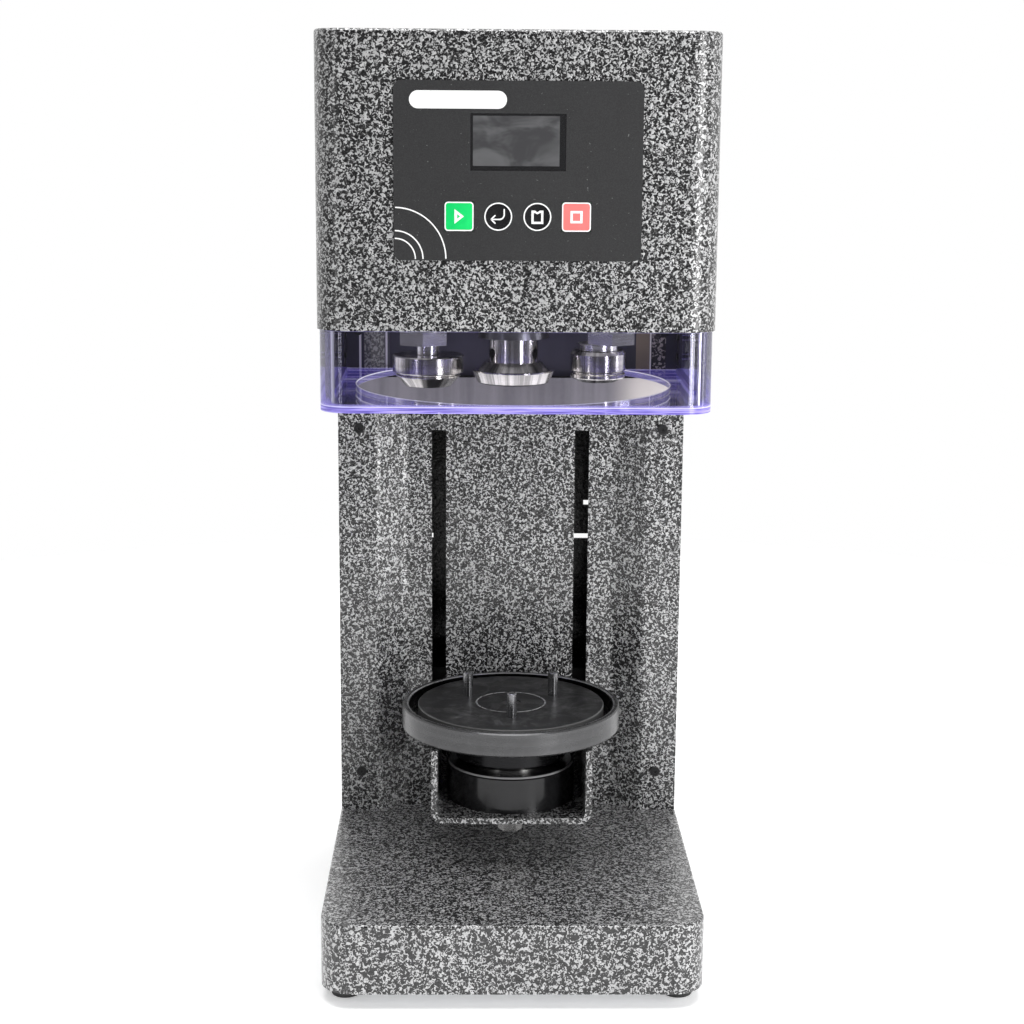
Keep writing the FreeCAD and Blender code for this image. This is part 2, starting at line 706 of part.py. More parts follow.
b = new_body("seaming_motor", 0, "-axis_y", 0)
turned(b, [("8 + run_gap", 494), (16.1, 494), (16.1, 502), (36, 502), (36, 524), (34.5, 525), (34.5, 582), (31, 587),
           (0, 587), (0, 522), ("8 + run_gap", 522)])

# ================================================================ roller arms and their cam
b = new_body("cam_motor", 0, "cam_y", 0)
turned(b, [("5 + run_gap", "head_bot + plate_t"), (18.5, "head_bot + plate_t"), (18.5, 452), (17, 453), (17, 484),
           (15, 487), (0, 487), (0, 450), ("5 + run_gap", 450)])

b = new_body("roller_cam", 0, "cam_y", 0)
s = sketch(b, "Disc", offset="arm_low + 0.3")
circle(s, 0, "cam_throw", "cam_r")
pad(b, s, "arm_t - 0.6")
s = sketch(b, "Shaft", offset="arm_low + 0.3")
circle(s, 0, 0, 5)
pad(b, s, 38)
s = sketch(b, "LighteningHole", offset="arm_low + 0.3")
circle(s, 0, 16, 4)
pocket(b, s, rev=True)

pins = []
for x in ("-pivot_x", "pivot_x"):
    pins.append(fuse(cyl(7.5, 3, x, "pivot_y", "arm_low - 3.3"),
                     cyl(5, "head_bot + plate_t - arm_low + 0.5", x, "pivot_y", "arm_low - 0.5")))
group("arm_pivot_pins", pins)

for name, sx, boss in (("first_roller_arm", -1, 58.4), ("second_roller_arm", 1, 63.0)):
    b = new_body(name)
    s = sketch(b, "Outline", offset="arm_low")
    pts = [("-pivot_x - 13", -27), ("-pivot_x + 15", -27), ("-pivot_x + 15", 28), ("-tail_face", 52),
           ("-tail_face", 88), ("-tail_face - 11", 88), ("-pivot_x - 13", 51)]
    if sx < 0:
        pts[0] = (-75.0, -27)
        poly(s, pts)
    else:
        pts[0] = (-80.0, -27)
        pts[1] = (-46.5, -27)
        poly(s, [(("-(%s)" % x) if isinstance(x, str) else -x, y) for x, y in pts])
    pad(b, s, "arm_t")
    corners = ["0"]
    x0 = -75.0 if sx < 0 else 80.0
    x1 = "pivot_x - 15" if sx > 0 else "-pivot_x + 15"
    round_edges(b, 9, upright([(x0, -27), ((x1 if sx < 0 else 46.5), -27)]))
    round_edges(b, 8, upright([((x1 if sx < 0 else x1), 28),
                               ("-pivot_x - 13" if sx < 0 else "pivot_x + 13", 51)]))
    s = sketch(b, "Bores", offset="arm_low")
    circle(s, "-pivot_x" if sx < 0 else "pivot_x", "pivot_y", "5 + run_gap")
    circle(s, sx * boss, "-axis_y", 8)
    pocket(b, s, rev=True)

# eccentric roller pins: hexagon for setting, journal below it set off to one side
group("first_roller_pin", [fuse(cyl(8, 9.5, -58.4, "-axis_y", "arm_low"),
                                hexagon(30, 9, -58.4, "-axis_y", 399),
                                cyl(7.5, 6.6, "-first_x", "-axis_y", 392.6),
                                cyl(4.5, 20, "-first_x", "-axis_y", 373.4),
                                cyl(6.8, 1.8, "-first_x", "-axis_y", 372.4))])
group("second_roller_pin", [fuse(cyl(8, 9.5, 63, "-axis_y", "arm_low"),
                                 hexagon(30, 8, 63, "-axis_y", 400),
                                 cyl(13, 4.2, "second_x", "-axis_y", 396),
                                 cyl(4.5, 20, "second_x", "-axis_y", 377),
                                 cyl(6.8, 1.8, "second_x", "-axis_y", 376))])

b = new_body("first_roller", "-first_x", "-axis_y", 0)
turned(b, [("4.5 + run_gap", 374.5), (7.3, 374.5), (7.3, 372), (14.6, 372), (15.25, 372.4), (21, 378.6), (21, 379.4),
           (19.8, 379.8), (19.8, 380.3), (22.6, 381), (23.25, 381.6), (23.25, 391.6), (22.5, 392.3), ("4.5 + run_gap", 392.3)])
b = new_body("second_roller", "second_x", "-axis_y", 0)
turned(b, [("4.5 + run_gap", 378.1), (7.3, 378.1), (7.3, 375.6), (13.2, 375.6), (17.6, 378), (17.9, 378.6), (17.9, 380.6),
           (16.8, 381.4), (16.8, 382), (18.15, 383), (18.15, 393.6), (16.6, 395.7), ("4.5 + run_gap", 395.7)])

# ================================================================ lift table
b = new_body("lift_bracket")
s = sketch(b, "Section", "XZ_Plane", offset="bracket_front")
poly(s, [("-bracket_half", "bracket_high"), ("-bracket_half", "bracket_low"), ("bracket_half", "bracket_low"),
         ("bracket_half", "bracket_high"), ("bracket_half - bracket_t", "bracket_high"),
         ("bracket_half - bracket_t", "bracket_low + bracket_t"), ("bracket_t - bracket_half", "bracket_low + bracket_t"),
         ("bracket_t - bracket_half", "bracket_high")])
pad(b, s, "bracket_front + 69.5", rev=True)
round_edges(b, 8, along_y([("-bracket_half", "bracket_low"), ("bracket_half", "bracket_low")]))
round_edges(b, 4, along_y([("bracket_t - bracket_half", "bracket_low + bracket_t"), ("bracket_half - bracket_t", "bracket_low + bracket_t")]))
for sx in (-1, 1):
    s = sketch(b, "WallTail", "XZ_Plane", offset=-69)
    if sx > 0:
        rect(s, "bracket_half - bracket_t", "bracket_low + 9", "bracket_half", "bracket_high")
    else:
        rect(s, "-bracket_half", "bracket_low + 9", "bracket_t - bracket_half", "bracket_high")
    pad(b, s, 29, rev=True)
    s = sketch(b, "Tab", "XZ_Plane", offset=-94)
    if sx > 0:
        rect(s, 26, 112, "bracket_half - 0.5", "bracket_high")
    else:
        rect(s, "0.5 - bracket_half", 112, -26, "bracket_high")
    pad(b, s, 4, rev=True)
s = sketch(b, "TabHoles", "XZ_Plane", offset=-93)
for sx in (-1, 1):
    for zz in (118, 133):
        circle(s, sx * 36, zz, 2.5)
pocket(b, s, 6)
s = sketch(b, "BoltHole", offset="bracket_low - 1")
circle(s, 0, "-axis_y", 6)
pocket(b, s, 8, rev=True)

b = new_body("carriage_block")
s = sketch(b, "Outline", offset=108)
rect(s, -88, 98, 88, 126)
pad(b, s, 42)
round_edges(b, 3, upright([(-88, 98), (88, 98), (-88, 126), (88, 126)]), "PartDesign::Chamfer")
s = sketch(b, "Bores", offset=108)
circle(s, 0, "drive_y", 11)
circle(s, "rod_x", "drive_y", 12)
circle(s, "-rod_x", "drive_y", 12)
pocket(b, s, rev=True)
s = sketch(b, "TabHoles", "XZ_Plane", offset=-97)
for sx in (-1, 1):
    for zz in (118, 133):
        circle(s, sx * 36, zz, 2.5)
pocket(b, s, 13)

group("bracket_screws", [screw(sx * 36, 94, zz, BACK, 4.2, 4, 2.5, 15, 4) for sx in (-1, 1) for zz in (118, 133)])
group("linear_bushings", [cut(cyl(12, 46, x, "drive_y", 106), cyl("rod_r + run_gap", 50, x, "drive_y", 104))
                          for x in ("-rod_x", "rod_x")])
b = new_body("lead_nut", 0, "drive_y", 0)
turned(b, [("screw_r + run_gap", 112), (11, 112), (11, 150), (17, 150), (17, 156), ("screw_r + run_gap", 156)])

b = new_body("lead_screw", 0, "drive_y", 0)
turned(b, [(0, 40), (5, 40), (5, 104.6), ("screw_r", 106), ("screw_r", 354), (5, 355.4), (5, 372), (4, 373), (0, 373)])

b = new_body("lifter_cylinder", 0, "-axis_y", 0)
turned(b, [(6, "bracket_low + bracket_t"), ("lifter_r", "bracket_low + bracket_t"), ("lifter_r", "lifter_top - 2"),
           ("lifter_r - 2", "lifter_top"), (28, "lifter_top"), (28, 114), ("12 + run_gap", 114), ("12 + run_gap", 105),
           (0, 105), (0, 103), (6, 103)])
b = new_body("thrust_bearing", 0, "-axis_y", 0)
turned(b, [(14, 114), (27.5, 114), (27.5, 117), (26.5, 117.2), (26.5, 118.2), (27.5, 118.4), (27.5, 121.5), (14, 121.5)])
group("bracket_bolt", [fuse(hexagon(14, 6.3, 0, "-axis_y", "bracket_low - 21.5", UP, 0), cyl(6.2, 14.4, 0, "-axis_y", "bracket_low - 15.4"),
                            cyl(11, 1.4, 0, "-axis_y", "bracket_low - 1.4"), cyl(6, 12.5, 0, "-axis_y", "bracket_low - 1"))])

b = new_body("turntable_hub", 0, "-axis_y", 0)
turned(b, [(0, 105.4), (12, 105.4), (12, "neck_low"), ("neck_r - 1", "neck_low"), ("neck_r", "neck_low + 1"),
           ("neck_r", "rim_low"), ("table_r - 1.2", "rim_low"), ("table_r", "rim_low + 1.2"), ("table_r", "table_top - 0.9"),
           ("table_r - 0.9", "table_top"), (69.4, "table_top"), (68.6, "table_top - 0.8"), (68.6, 148), (3, 148), (3, 138), (0, 138)])
b = new_body("table_disc", 0, "-axis_y", 0)
turned(b, [(3, 148), ("disc_r", 148), ("disc_r", 156.4), ("disc_r - 0.6", "table_top - 0.5"), (23.4, "table_top - 0.5"), (23.1, 156.7),
           (22.8, "table_top - 0.5"), (6.6, "table_top - 0.5"), (6.6, 153.4), (3, 153.4)])
doc.recompute()
s = sketch(b, "PinHole", offset=148)
circle(s, 0, "-pin_circle", "pin_r")
h = pocket(b, s, rev=True)
pp = b.newObject("PartDesign::PolarPattern", "PinHoles")
pp.Originals = [h]
pp.Axis = (origin_of(b, "Z_Axis"), [""])
pp.Angle = 360
pp.Occurrences = 3
b.Tip = pp
pins = []
for a in (-90, 30, 150):
    c, d = math.cos(math.radians(a)), math.sin(math.radians(a))
    x = "pin_circle*%.6f" % c
    y = "pin_circle*%.6f - axis_y" % d
    pins.append(fuse(cyl("pin_r", "pin_top - 148.6", x, y, 148), cone(num("pin_r"), num("pin_r") - 0.6, 0.6, x, y, "pin_top - 0.6")))
group("locating_pins", pins)
group("table_screw", [cut(fuse(cyl(6.2, 3.2, 0, "-axis_y", 153.4), cyl(3, 15.4, 0, "-axis_y", 138)), hexagon(5, 2, 0, "-axis_y", 154.6))])

# ================================================================ controls
b = new_body("control_overlay")
s = sketch(b, "Outline", "XZ_Plane", offset="head_front")
rect(s, "-panel_w/2", "panel_z - panel_h/2", "panel_w/2", "panel_z + panel_h/2")
pad(b, s, "panel_t")
round_edges(b, 5, lambda e: e.BoundBox.YLength > 0.5 and e.BoundBox.XLength < 0.01 and e.BoundBox.ZLength < 0.01)
s = sketch(b, "Openings", "XZ_Plane", offset="head_front + 2")
rect(s, "-win_w/2", "win_z - win_h/2", "win_w/2", "win_z + win_h/2")
for kx in ("key_out", "-key_out"):
    rect(s, kx + " - key_sq/2 - key_gap", "key_z - key_sq/2 - key_gap", kx + " + key_sq/2 + key_gap", "key_z + key_sq/2 + key_gap")
for kx in ("key_in", "-key_in"):
    circle(s, kx, "key_z", "key_r + key_gap")
pocket(b, s, 4)

b = new_body("display_window")
s = sketch(b, "Outline", "XZ_Plane", offset="head_front - wall")
rect(s, "-win_w/2", "win_z - win_h/2", "win_w/2", "win_z + win_h/2")
pad(b, s, "wall + panel_t - 0.1")

group("display_module", [fuse(box(-33, "wall - head_front", 508, 66, 7.5, 44), box(-10, "wall - head_front + 7.5", 511, 20, 2, 38))])
board = [box(-76, -110, 462, 152, 1.6, 100)]
for x in ("-key_out", "-key_in", "key_in", "key_out"):
    board.append(box(x + " - 3", -118.1, "key_z - 3", 6, 8.4, 6))
for x in (-72, 72):
    for z in (466, 558):
        board.append(cyl(3, 9.5, x, "wall - head_front", z, BACK))
board += [box(-60, -108.4, 480, 24, 6, 24), box(20, -108.4, 470, 30, 9, 14), box(-20, -108.4, 530, 40, 3, 20)]
group("control_board", [fuse(*board)])

for name, kx, kind in (("start_button", "-key_out", "sq"), ("back_button", "-key_in", "rd"),
                       ("mode_button", "key_in", "rd"), ("stop_button", "key_out", "sq")):
    b = new_body(name)
    s = sketch(b, "Face", "XZ_Plane", offset="head_front - wall - 0.4")
    if kind == "sq":
        rect(s, kx + " - key_sq/2", "key_z - key_sq/2", kx + " + key_sq/2", "key_z + key_sq/2")
    else:
        circle(s, kx, "key_z", "key_r")
    pad(b, s, "wall + panel_t + 0.7")
    if kind == "sq":
        round_edges(b, 2.4, lambda e: e.BoundBox.YLength > 0.5 and e.BoundBox.XLength < 0.01 and e.BoundBox.ZLength < 0.01)
    round_edges(b, 0.25, lambda e: e.BoundBox.YLength < 0.01 and e.BoundBox.Center.y < -122)

# ================================================================ power
group("power_supply", [cut(fuse(box(66, -30, "head_bot + plate_t", 42, 100, 58), box(62, -20, "head_bot + plate_t", 50, 14, 2),
                                box(62, 45, "head_bot + plate_t", 50, 14, 2)),
                           *[box(64, -20 + 12 * i, 460, 46, 5, 20) for i in range(7)])])
inlet = cut(fuse(box(-84.9, 128, 445.1, 27.8, 20, 27.8), box(-88, "col_back", 441, 34, 1.4, 36), box(-86.5, 140, 444, 31, 2, 30)),
            box(-83, 132, 459.5, 24, 30, 12.2), box(-82, 137, 447, 22, 30, 10.5))
earth = [box(-80.6 + 7.3 * i, 131.5, 463 if i != 1 else 464.5, 2, 11.5, 4) for i in range(3)]
group("power_inlet", [inlet] + earth)
# rocker with a shallow V face, resting tilted 8 degrees about its pivot line
b = new_body("power_rocker", -71, 142, 0)
s = sketch(b, "Section", offset=447.6)
tc, ts = math.cos(math.radians(8)), math.sin(math.radians(8))
poly(s, [(x * tc - y * ts, x * ts + y * tc) for x, y in
         ((-10, 5.8), (0, 4.6), (10, 5.8), (10, 1), (0.001, -2.5), (-10, 1))])
pad(b, s, 9.3)

# ================================================================ fasteners
cover = []
for sx in (-1, 1):
    for zz in (84, 332):
        cover.append(screw(sx * 105.0, "col_front", zz, BACK, 3.5, 2.0, 2.0, 6, 2.5))
    for zz in (350, 400):
        cover.append(screw(sx * (112.0 if zz == 350 else 105.0), "col_front", zz, BACK, 3.5, 2.0, 2.0, 5, 2.5))
    for yy in ("-foot_yf", "foot_yb"):
        cover.append(screw(sx * 105.0, yy, 5, UP, 3.5, 2.0, 2.0, 12, 2.5))
    a = LEFT if sx > 0 else RIGHT
    for yy in (-80, 20, 110):
        cover.append(screw(sx * 117.7, yy, "head_bot + 5", a, 3.5, 2.0, 2.0, 12, 2.5))
for sx in (-1, 1):
    a = LEFT if sx > 0 else RIGHT
    for zz in (384, 397):
        cover.append(screw(sx * 118.5, 50, zz, a, 3.5, 1.4, 2.0, 6, 2.5))
group("cover_screws", cover)

frame = []
for sx in (-1, 1):
    frame.append(screw(sx * 72.0, "drive_y", "base_top - wall", UP, 5.0, 6, 3.0, 16, 5))
    frame.append(screw(sx * 72.0, "drive_y", "head_bot + plate_t", DOWN, 5.0, 6, 3.0, 24, 5))
    for yy in (90, 134):
        frame.append(screw(sx * 106.0, yy, "base_top - wall", UP, 5.0, 6, 3.0, 10, 5))
        frame.append(screw(sx * 106.0, yy, "head_bot + plate_t", DOWN, 5.0, 6, 3.0, 16, 5))
for sx in (-1, 1):
    for sy in (-1, 1):
        frame.append(screw(sx * 24.75, "%.2f - axis_y" % (sy * 24.75) if sy > 0 else "-24.75 - axis_y", 437, DOWN, 5.0, 6, 3.0, 16, 5))
group("frame_screws", frame)

# ================================================================ check and write
doc.recompute()
bad = []
for o in doc.Objects:
    if "Invalid" in o.State or "Error" in o.State:
        bad.append("%s (%s): %s" % (o.Name, o.Label, o.State))
for name, o in NODES:
    sh = o.Shape
    if sh.isNull() or not sh.isValid() or not sh.Solids:
        bad.append("shape of " + name)
if bad:
    raise RuntimeError("; ".join(bad))
if len(NODES) > 60 or len(set(n for n, _ in NODES)) != len(NODES):
    raise RuntimeError("node list")
for name, o in NODES:
    o.Shape.exportStep("parts/%s.step" % name)
    bb = o.Shape.BoundBox
    print("%-22s %2d solids %10.1f mm3  x %7.2f %7.2f  y %7.2f %7.2f  z %7.2f %7.2f" % (
        name, len(o.Shape.Solids), o.Shape.Volume, bb.XMin, bb.XMax, bb.YMin, bb.YMax, bb.ZMin, bb.ZMax))
print(len(NODES), "nodes")
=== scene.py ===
import math

import bmesh
import bpy
from mathutils import Matrix, Vector


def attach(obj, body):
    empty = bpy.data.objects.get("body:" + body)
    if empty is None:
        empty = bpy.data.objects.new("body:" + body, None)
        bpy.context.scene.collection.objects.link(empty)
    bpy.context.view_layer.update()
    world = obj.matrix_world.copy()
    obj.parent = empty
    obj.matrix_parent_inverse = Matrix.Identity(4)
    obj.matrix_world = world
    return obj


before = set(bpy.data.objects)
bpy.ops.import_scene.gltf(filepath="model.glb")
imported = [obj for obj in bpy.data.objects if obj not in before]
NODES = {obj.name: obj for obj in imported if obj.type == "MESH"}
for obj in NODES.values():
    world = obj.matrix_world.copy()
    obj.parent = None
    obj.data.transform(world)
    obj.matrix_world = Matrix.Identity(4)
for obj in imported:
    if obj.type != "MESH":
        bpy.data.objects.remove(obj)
bpy.context.view_layer.update()
MM = 0.001
AXIS = (0.0, -0.011)          # centre line of the lift table, the chuck and the spindle
LEFT = (-0.0554, -0.011)      # centre line of the first seaming roller
RIGHT = (0.055, -0.011)       # centre line of the second seaming roller


# ---------------------------------------------------------------- camera
def aim_camera():
    yaw, pitch, roll = 0.017788297, 0.200377981, 0.007375985
    f = Vector((math.sin(yaw) * math.cos(pitch), math.cos(yaw) * math.cos(pitch), -math.sin(pitch)))
    r = Vector((math.cos(yaw), -math.sin(yaw), 0.0))
    u = r.cross(f)
    r2 = math.cos(roll) * r + math.sin(roll) * u
    u2 = -math.sin(roll) * r + math.cos(roll) * u
    data = bpy.data.cameras.new("camera")
    data.sensor_width = 36.0
    data.lens = 70.566
    data.clip_start = 0.05
    data.clip_end = 60.0
    data.dof.use_dof = False
    cam = bpy.data.objects.new("camera", data)
    bpy.context.scene.collection.objects.link(cam)
    m = Matrix((
        (r2.x, u2.x, -f.x, -0.0233),
        (r2.y, u2.y, -f.y, -1.3120),
        (r2.z, u2.z, -f.z, 0.5520),
        (0.0, 0.0, 0.0, 1.0),
    ))
    cam.matrix_world = m
    bpy.context.scene.camera = cam


aim_camera()
view = bpy.context.scene.view_settings
view.view_transform = "Standard"
view.look = "None"
view.exposure = 0.0
view.gamma = 1.0


# ---------------------------------------------------------------- shader building
class Shade:
    """A small builder for node materials. Coordinates are the row frame's, in metres."""

    def __init__(self, name):
        self.mat = bpy.data.materials.new(name)
        self.mat.use_nodes = True
        self.nt = self.mat.node_tree
        self.nt.nodes.clear()
        self.out = self.nt.nodes.new("ShaderNodeOutputMaterial")
        self.p = self.nt.nodes.new("ShaderNodeBsdfPrincipled")
        self.nt.links.new(self.p.outputs[0], self.out.inputs[0])
        self._co = None

    def link(self, a, b):
        self.nt.links.new(a, b)

    def node(self, kind, **props):
        n = self.nt.nodes.new(kind)
        for k, v in props.items():
            setattr(n, k, v)
        return n

    def put(self, socket, value):
        if isinstance(value, bpy.types.NodeSocket):
            self.link(value, socket)
        elif isinstance(value, (tuple, list)) and len(value) == 3 and socket.type == "RGBA":
            socket.default_value = (*value, 1.0)
        else:
            socket.default_value = value

    def set(self, **kw):
        names = {
            "color": "Base Color", "metal": "Metallic", "rough": "Roughness", "ior": "IOR", "alpha": "Alpha",
            "normal": "Normal", "coat": "Coat Weight", "coat_rough": "Coat Roughness", "spec": "Specular IOR Level",
            "trans": "Transmission Weight", "emit": "Emission Color", "emit_power": "Emission Strength",
            "sheen": "Sheen Weight", "sub": "Subsurface Weight",
        }
        for k, v in kw.items():
            self.put(self.p.inputs[names[k]], v)
        return self

    @property
    def co(self):
        if self._co is None:
            self._co = self.node("ShaderNodeTexCoord").outputs["Object"]
        return self._co

    def xyz(self, v=None):
        n = self.node("ShaderNodeSeparateXYZ")
        self.link(v if v is not None else self.co, n.inputs[0])
        return n.outputs[0], n.outputs[1], n.outputs[2]

    def vec(self, x, y, z):
        n = self.node("ShaderNodeCombineXYZ")
        for s, v in zip(n.inputs, (x, y, z)):
            self.put(s, v)
        return n.outputs[0]

    def math(self, op, a, b=0.0, c=None, clamp=False):
        n = self.node("ShaderNodeMath", operation=op, use_clamp=clamp)
        self.put(n.inputs[0], a)
        self.put(n.inputs[1], b)
        if c is not None:
            self.put(n.inputs[2], c)
        return n.outputs[0]

    def vmath(self, op, a, b=None, scale=None):
        n = self.node("ShaderNodeVectorMath", operation=op)
        self.put(n.inputs[0], a)
        if b is not None:
            self.put(n.inputs[1], b)
        if scale is not None:
            self.put(n.inputs["Scale"], scale)
        return n.outputs["Value"] if op in ("LENGTH", "DOT_PRODUCT", "DISTANCE") else n.outputs[0]

    def noise(self, scale, detail=2.0, rough=0.5, distortion=0.0, v=None, color=False):
        n = self.node("ShaderNodeTexNoise")
        self.link(v if v is not None else self.co, n.inputs["Vector"])
        n.inputs["Scale"].default_value = scale
        n.inputs["Detail"].default_value = detail
        n.inputs["Roughness"].default_value = rough
        n.inputs["Distortion"].default_value = distortion
        return n.outputs["Color"] if color else n.outputs["Fac"]

    def voronoi(self, scale, feature="F1", v=None, randomness=1.0, smooth=None):
        n = self.node("ShaderNodeTexVoronoi", feature=feature)
        self.link(v if v is not None else self.co, n.inputs["Vector"])
        n.inputs["Scale"].default_value = scale
        n.inputs["Randomness"].default_value = randomness
        if smooth is not None:
            n.inputs["Smoothness"].default_value = smooth
        return n.outputs["Distance"]

    def span(self, v, a, b, lo=0.0, hi=1.0, smooth=True):
        n = self.node("ShaderNodeMapRange", clamp=True, interpolation_type="SMOOTHSTEP" if smooth else "LINEAR")
        self.put(n.inputs["Value"], v)
        n.inputs["From Min"].default_value = a
        n.inputs["From Max"].default_value = b
        n.inputs["To Min"].default_value = lo
        n.inputs["To Max"].default_value = hi
        return n.outputs[0]

    def mix(self, fac, a, b):
        n = self.node("ShaderNodeMix", data_type="RGBA")
        self.put(n.inputs[0], fac)
        self.put(n.inputs[6], a)
        self.put(n.inputs[7], b)
        return n.outputs[2]

    def mixf(self, fac, a, b):
        n = self.node("ShaderNodeMix", data_type="FLOAT")
        self.put(n.inputs[0], fac)
        self.put(n.inputs[2], a)
        self.put(n.inputs[3], b)
        return n.outputs[0]

    def bump(self, height, distance, strength=1.0, normal=None):
        n = self.node("ShaderNodeBump")
        n.inputs["Strength"].default_value = strength
        n.inputs["Distance"].default_value = distance
        self.link(height, n.inputs["Height"])
        if normal is not None:
            self.link(normal, n.inputs["Normal"])
        return n.outputs[0]

    def normal(self):
        return self.node("ShaderNodeNewGeometry").outputs["Normal"]

    def radius(self, axis, v=None):
        x, y, z = self.xyz(v)
        dx = self.math("SUBTRACT", x, axis[0])
        dy = self.math("SUBTRACT", y, axis[1])
        return self.math("SQRT", self.math("ADD", self.math("MULTIPLY", dx, dx), self.math("MULTIPLY", dy, dy))), z, dx, dy

    def edge(self, size):
        """How sharply the surface turns here: 1 on a worn edge."""
        n = self.node("ShaderNodeBevel", samples=4)
        n.inputs["Radius"].default_value = size
        d = self.vmath("DOT_PRODUCT", n.outputs[0], self.normal())
        return self.span(d, 0.995, 0.80, 0.0, 1.0)


# ---------------------------------------------------------------- materials
def hammertone(name, bright=1.0, size=1.0, gloss=0.24):
    """Hammertone powder coat: short silver worms over black, slightly raised, under a clear gloss."""
    s = Shade(name)
    x, y, z = s.xyz()
    n1 = s.noise(610 / size, 0.7, 0.5, 1.0)
    n2 = s.noise(300 / size, 1.0, 0.5, 0.3)
    lift = s.math("ADD", n1, s.math("MULTIPLY", s.math("SUBTRACT", n2, 0.5), 0.30))
    amount = s.span(lift, 0.485, 0.625)
    fleck = s.span(s.noise(1500, 1.0, 0.6), 0.60, 0.70)
    patch = s.span(s.noise(16, 2.0), 0.3, 0.7)
    silver = s.mix(s.noise(180, 1.0), (0.34 * bright, 0.34 * bright, 0.345 * bright), (0.66 * bright, 0.66 * bright, 0.665 * bright))
    silver = s.mix(s.math("MULTIPLY", patch, 0.25), silver, (0.26, 0.26, 0.265))
    dark = s.mix(s.noise(70, 2.0), (0.0040, 0.0040, 0.0044), (0.0100, 0.0100, 0.0108))
    col = s.mix(amount, dark, silver)
    col = s.mix(s.math("MULTIPLY", fleck, 0.16), col, (0.45, 0.45, 0.45))
    # painted shade: inside the column and the head a box mask turns the coat dull near-black, standing in for the shade
    # in there
    ax = s.math("ABSOLUTE", x)
    inner = s.math("MULTIPLY", s.math("LESS_THAN", ax, 0.1178),
                   s.math("MULTIPLY", s.math("GREATER_THAN", y, 0.0742), s.math("LESS_THAN", y, 0.1463)))
    inner = s.math("MULTIPLY", inner, s.math("MULTIPLY", s.math("GREATER_THAN", z, 0.0560), s.math("LESS_THAN", z, 0.592)))
    col = s.mix(inner, col, s.mix(amount, (0.0025, 0.0025, 0.0027), (0.012, 0.012, 0.0125)))
    height = s.math("ADD", s.math("MULTIPLY", n1, 0.75), s.math("MULTIPLY", n2, 0.8))
    nrm = s.bump(height, 0.00075 * size, 0.9)
    soft = s.bump(height, 0.00022 * size, 0.6)
    rough = s.mixf(amount, gloss, gloss + 0.12)
    s.set(color=col, metal=s.math("MULTIPLY", amount, 0.35), rough=rough, normal=nrm, spec=0.5, coat=0.45, coat_rough=0.14)
    s.link(soft, s.p.inputs["Coat Normal"])
    return s.mat


def sheet_metal(name, base, rough=0.34, tint=(0.9, 0.93, 1.0), scale=55):
    s = Shade(name)
    x, y, z = s.xyz()
    spangle = s.voronoi(scale, "F1")
    streak = s.noise(1.0, 3.0, 0.6, v=s.vec(s.math("MULTIPLY", x, 900.0), s.math("MULTIPLY", y, 900.0), s.math("MULTIPLY", z, 30.0)))
    col = s.mix(spangle, base, tuple(b * t * 0.78 for b, t in zip(base, tint)))
    col = s.mix(s.span(streak, 0.35, 0.7, 0.0, 0.35), col, tuple(b * 0.6 for b in base))
    s.set(color=col, metal=1.0, rough=s.mixf(streak, rough - 0.07, rough + 0.12), normal=s.bump(streak, 0.00003, 0.5))
    return s.mat


def cast_metal(name, base, rough=0.42, metal=1.0, grain=900, depth=0.00006):
    s = Shade(name)
    g = s.noise(grain, 3.0, 0.6)
    big = s.noise(70, 3.0, 0.55)
    col = s.mix(s.span(big, 0.3, 0.75), base, tuple(b * 0.62 for b in base))
    col = s.mix(s.math("MULTIPLY", s.edge(0.0006), 0.5), col, tuple(min(1.0, b * 1.5 + 0.03) for b in base))
    s.set(color=col, metal=metal, rough=s.mixf(g, rough - 0.08, rough + 0.12), normal=s.bump(g, depth, 0.6))
    return s.mat


def turned(name, axis, base, rough=0.22, metal=1.0, ring=2600, depth=0.000018, warm=0.0, dirt=0.3, dark_from=None, painted_reflection_streaks=0.0, extra=None):
    """Turned on a lathe about a vertical line: fine rings round it, a little oil and handling, and optional dark
    vertical streaks round it that are painted reflections.
    """
    s = Shade(name)
    r, z, dx, dy = s.radius(axis)
    v = s.vec(s.math("MULTIPLY", r, float(ring)), s.math("MULTIPLY", z, float(ring)), 0.0)
    fine = s.noise(1.0, 2.0, 0.55, v=v)
    wide = s.noise(1.0, 1.0, 0.5, v=s.vec(s.math("MULTIPLY", r, ring / 6.0), s.math("MULTIPLY", z, ring / 6.0), 0.0))
    smear = s.noise(95, 3.0, 0.6, 0.6)
    light = tuple(min(1.0, b * 1.12) for b in base)
    shade = tuple(b * (0.60 if i == 2 else 0.72) for i, b in enumerate(base)) if warm else tuple(b * 0.68 for b in base)
    col = s.mix(s.span(wide, 0.35, 0.65), light, base)
    col = s.mix(s.math("MULTIPLY", s.span(smear, 0.45, 0.75), dirt), col, shade)
    # painted reflection: dark vertical streaks by angle round the axis stand in for reflections in the polished metal
    if painted_reflection_streaks:
        ang = s.math("ARCTAN2", dy, dx)
        a = s.vec(s.math("MULTIPLY", s.math("COSINE", ang), 4.0), s.math("MULTIPLY", s.math("SINE", ang), 4.0), 1.0)
        col = s.mix(s.math("MULTIPLY", s.span(s.noise(1.0, 3.0, 0.7, v=a), 0.42, 0.60), painted_reflection_streaks), col, tuple(b * 0.16 for b in base))
    col = s.mix(s.math("MULTIPLY", s.edge(0.0004), 0.6), col, tuple(min(1.0, b * 1.35 + 0.02) for b in base))
    if extra is not None:
        col = extra(s, col, r, z)
    s.set(color=col, metal=metal, rough=s.mixf(s.math("MULTIPLY", smear, fine), rough - 0.05, rough + 0.20),
          normal=s.bump(s.math("ADD", fine, s.math("MULTIPLY", wide, 0.7)), depth, 0.7))
    return s.mat


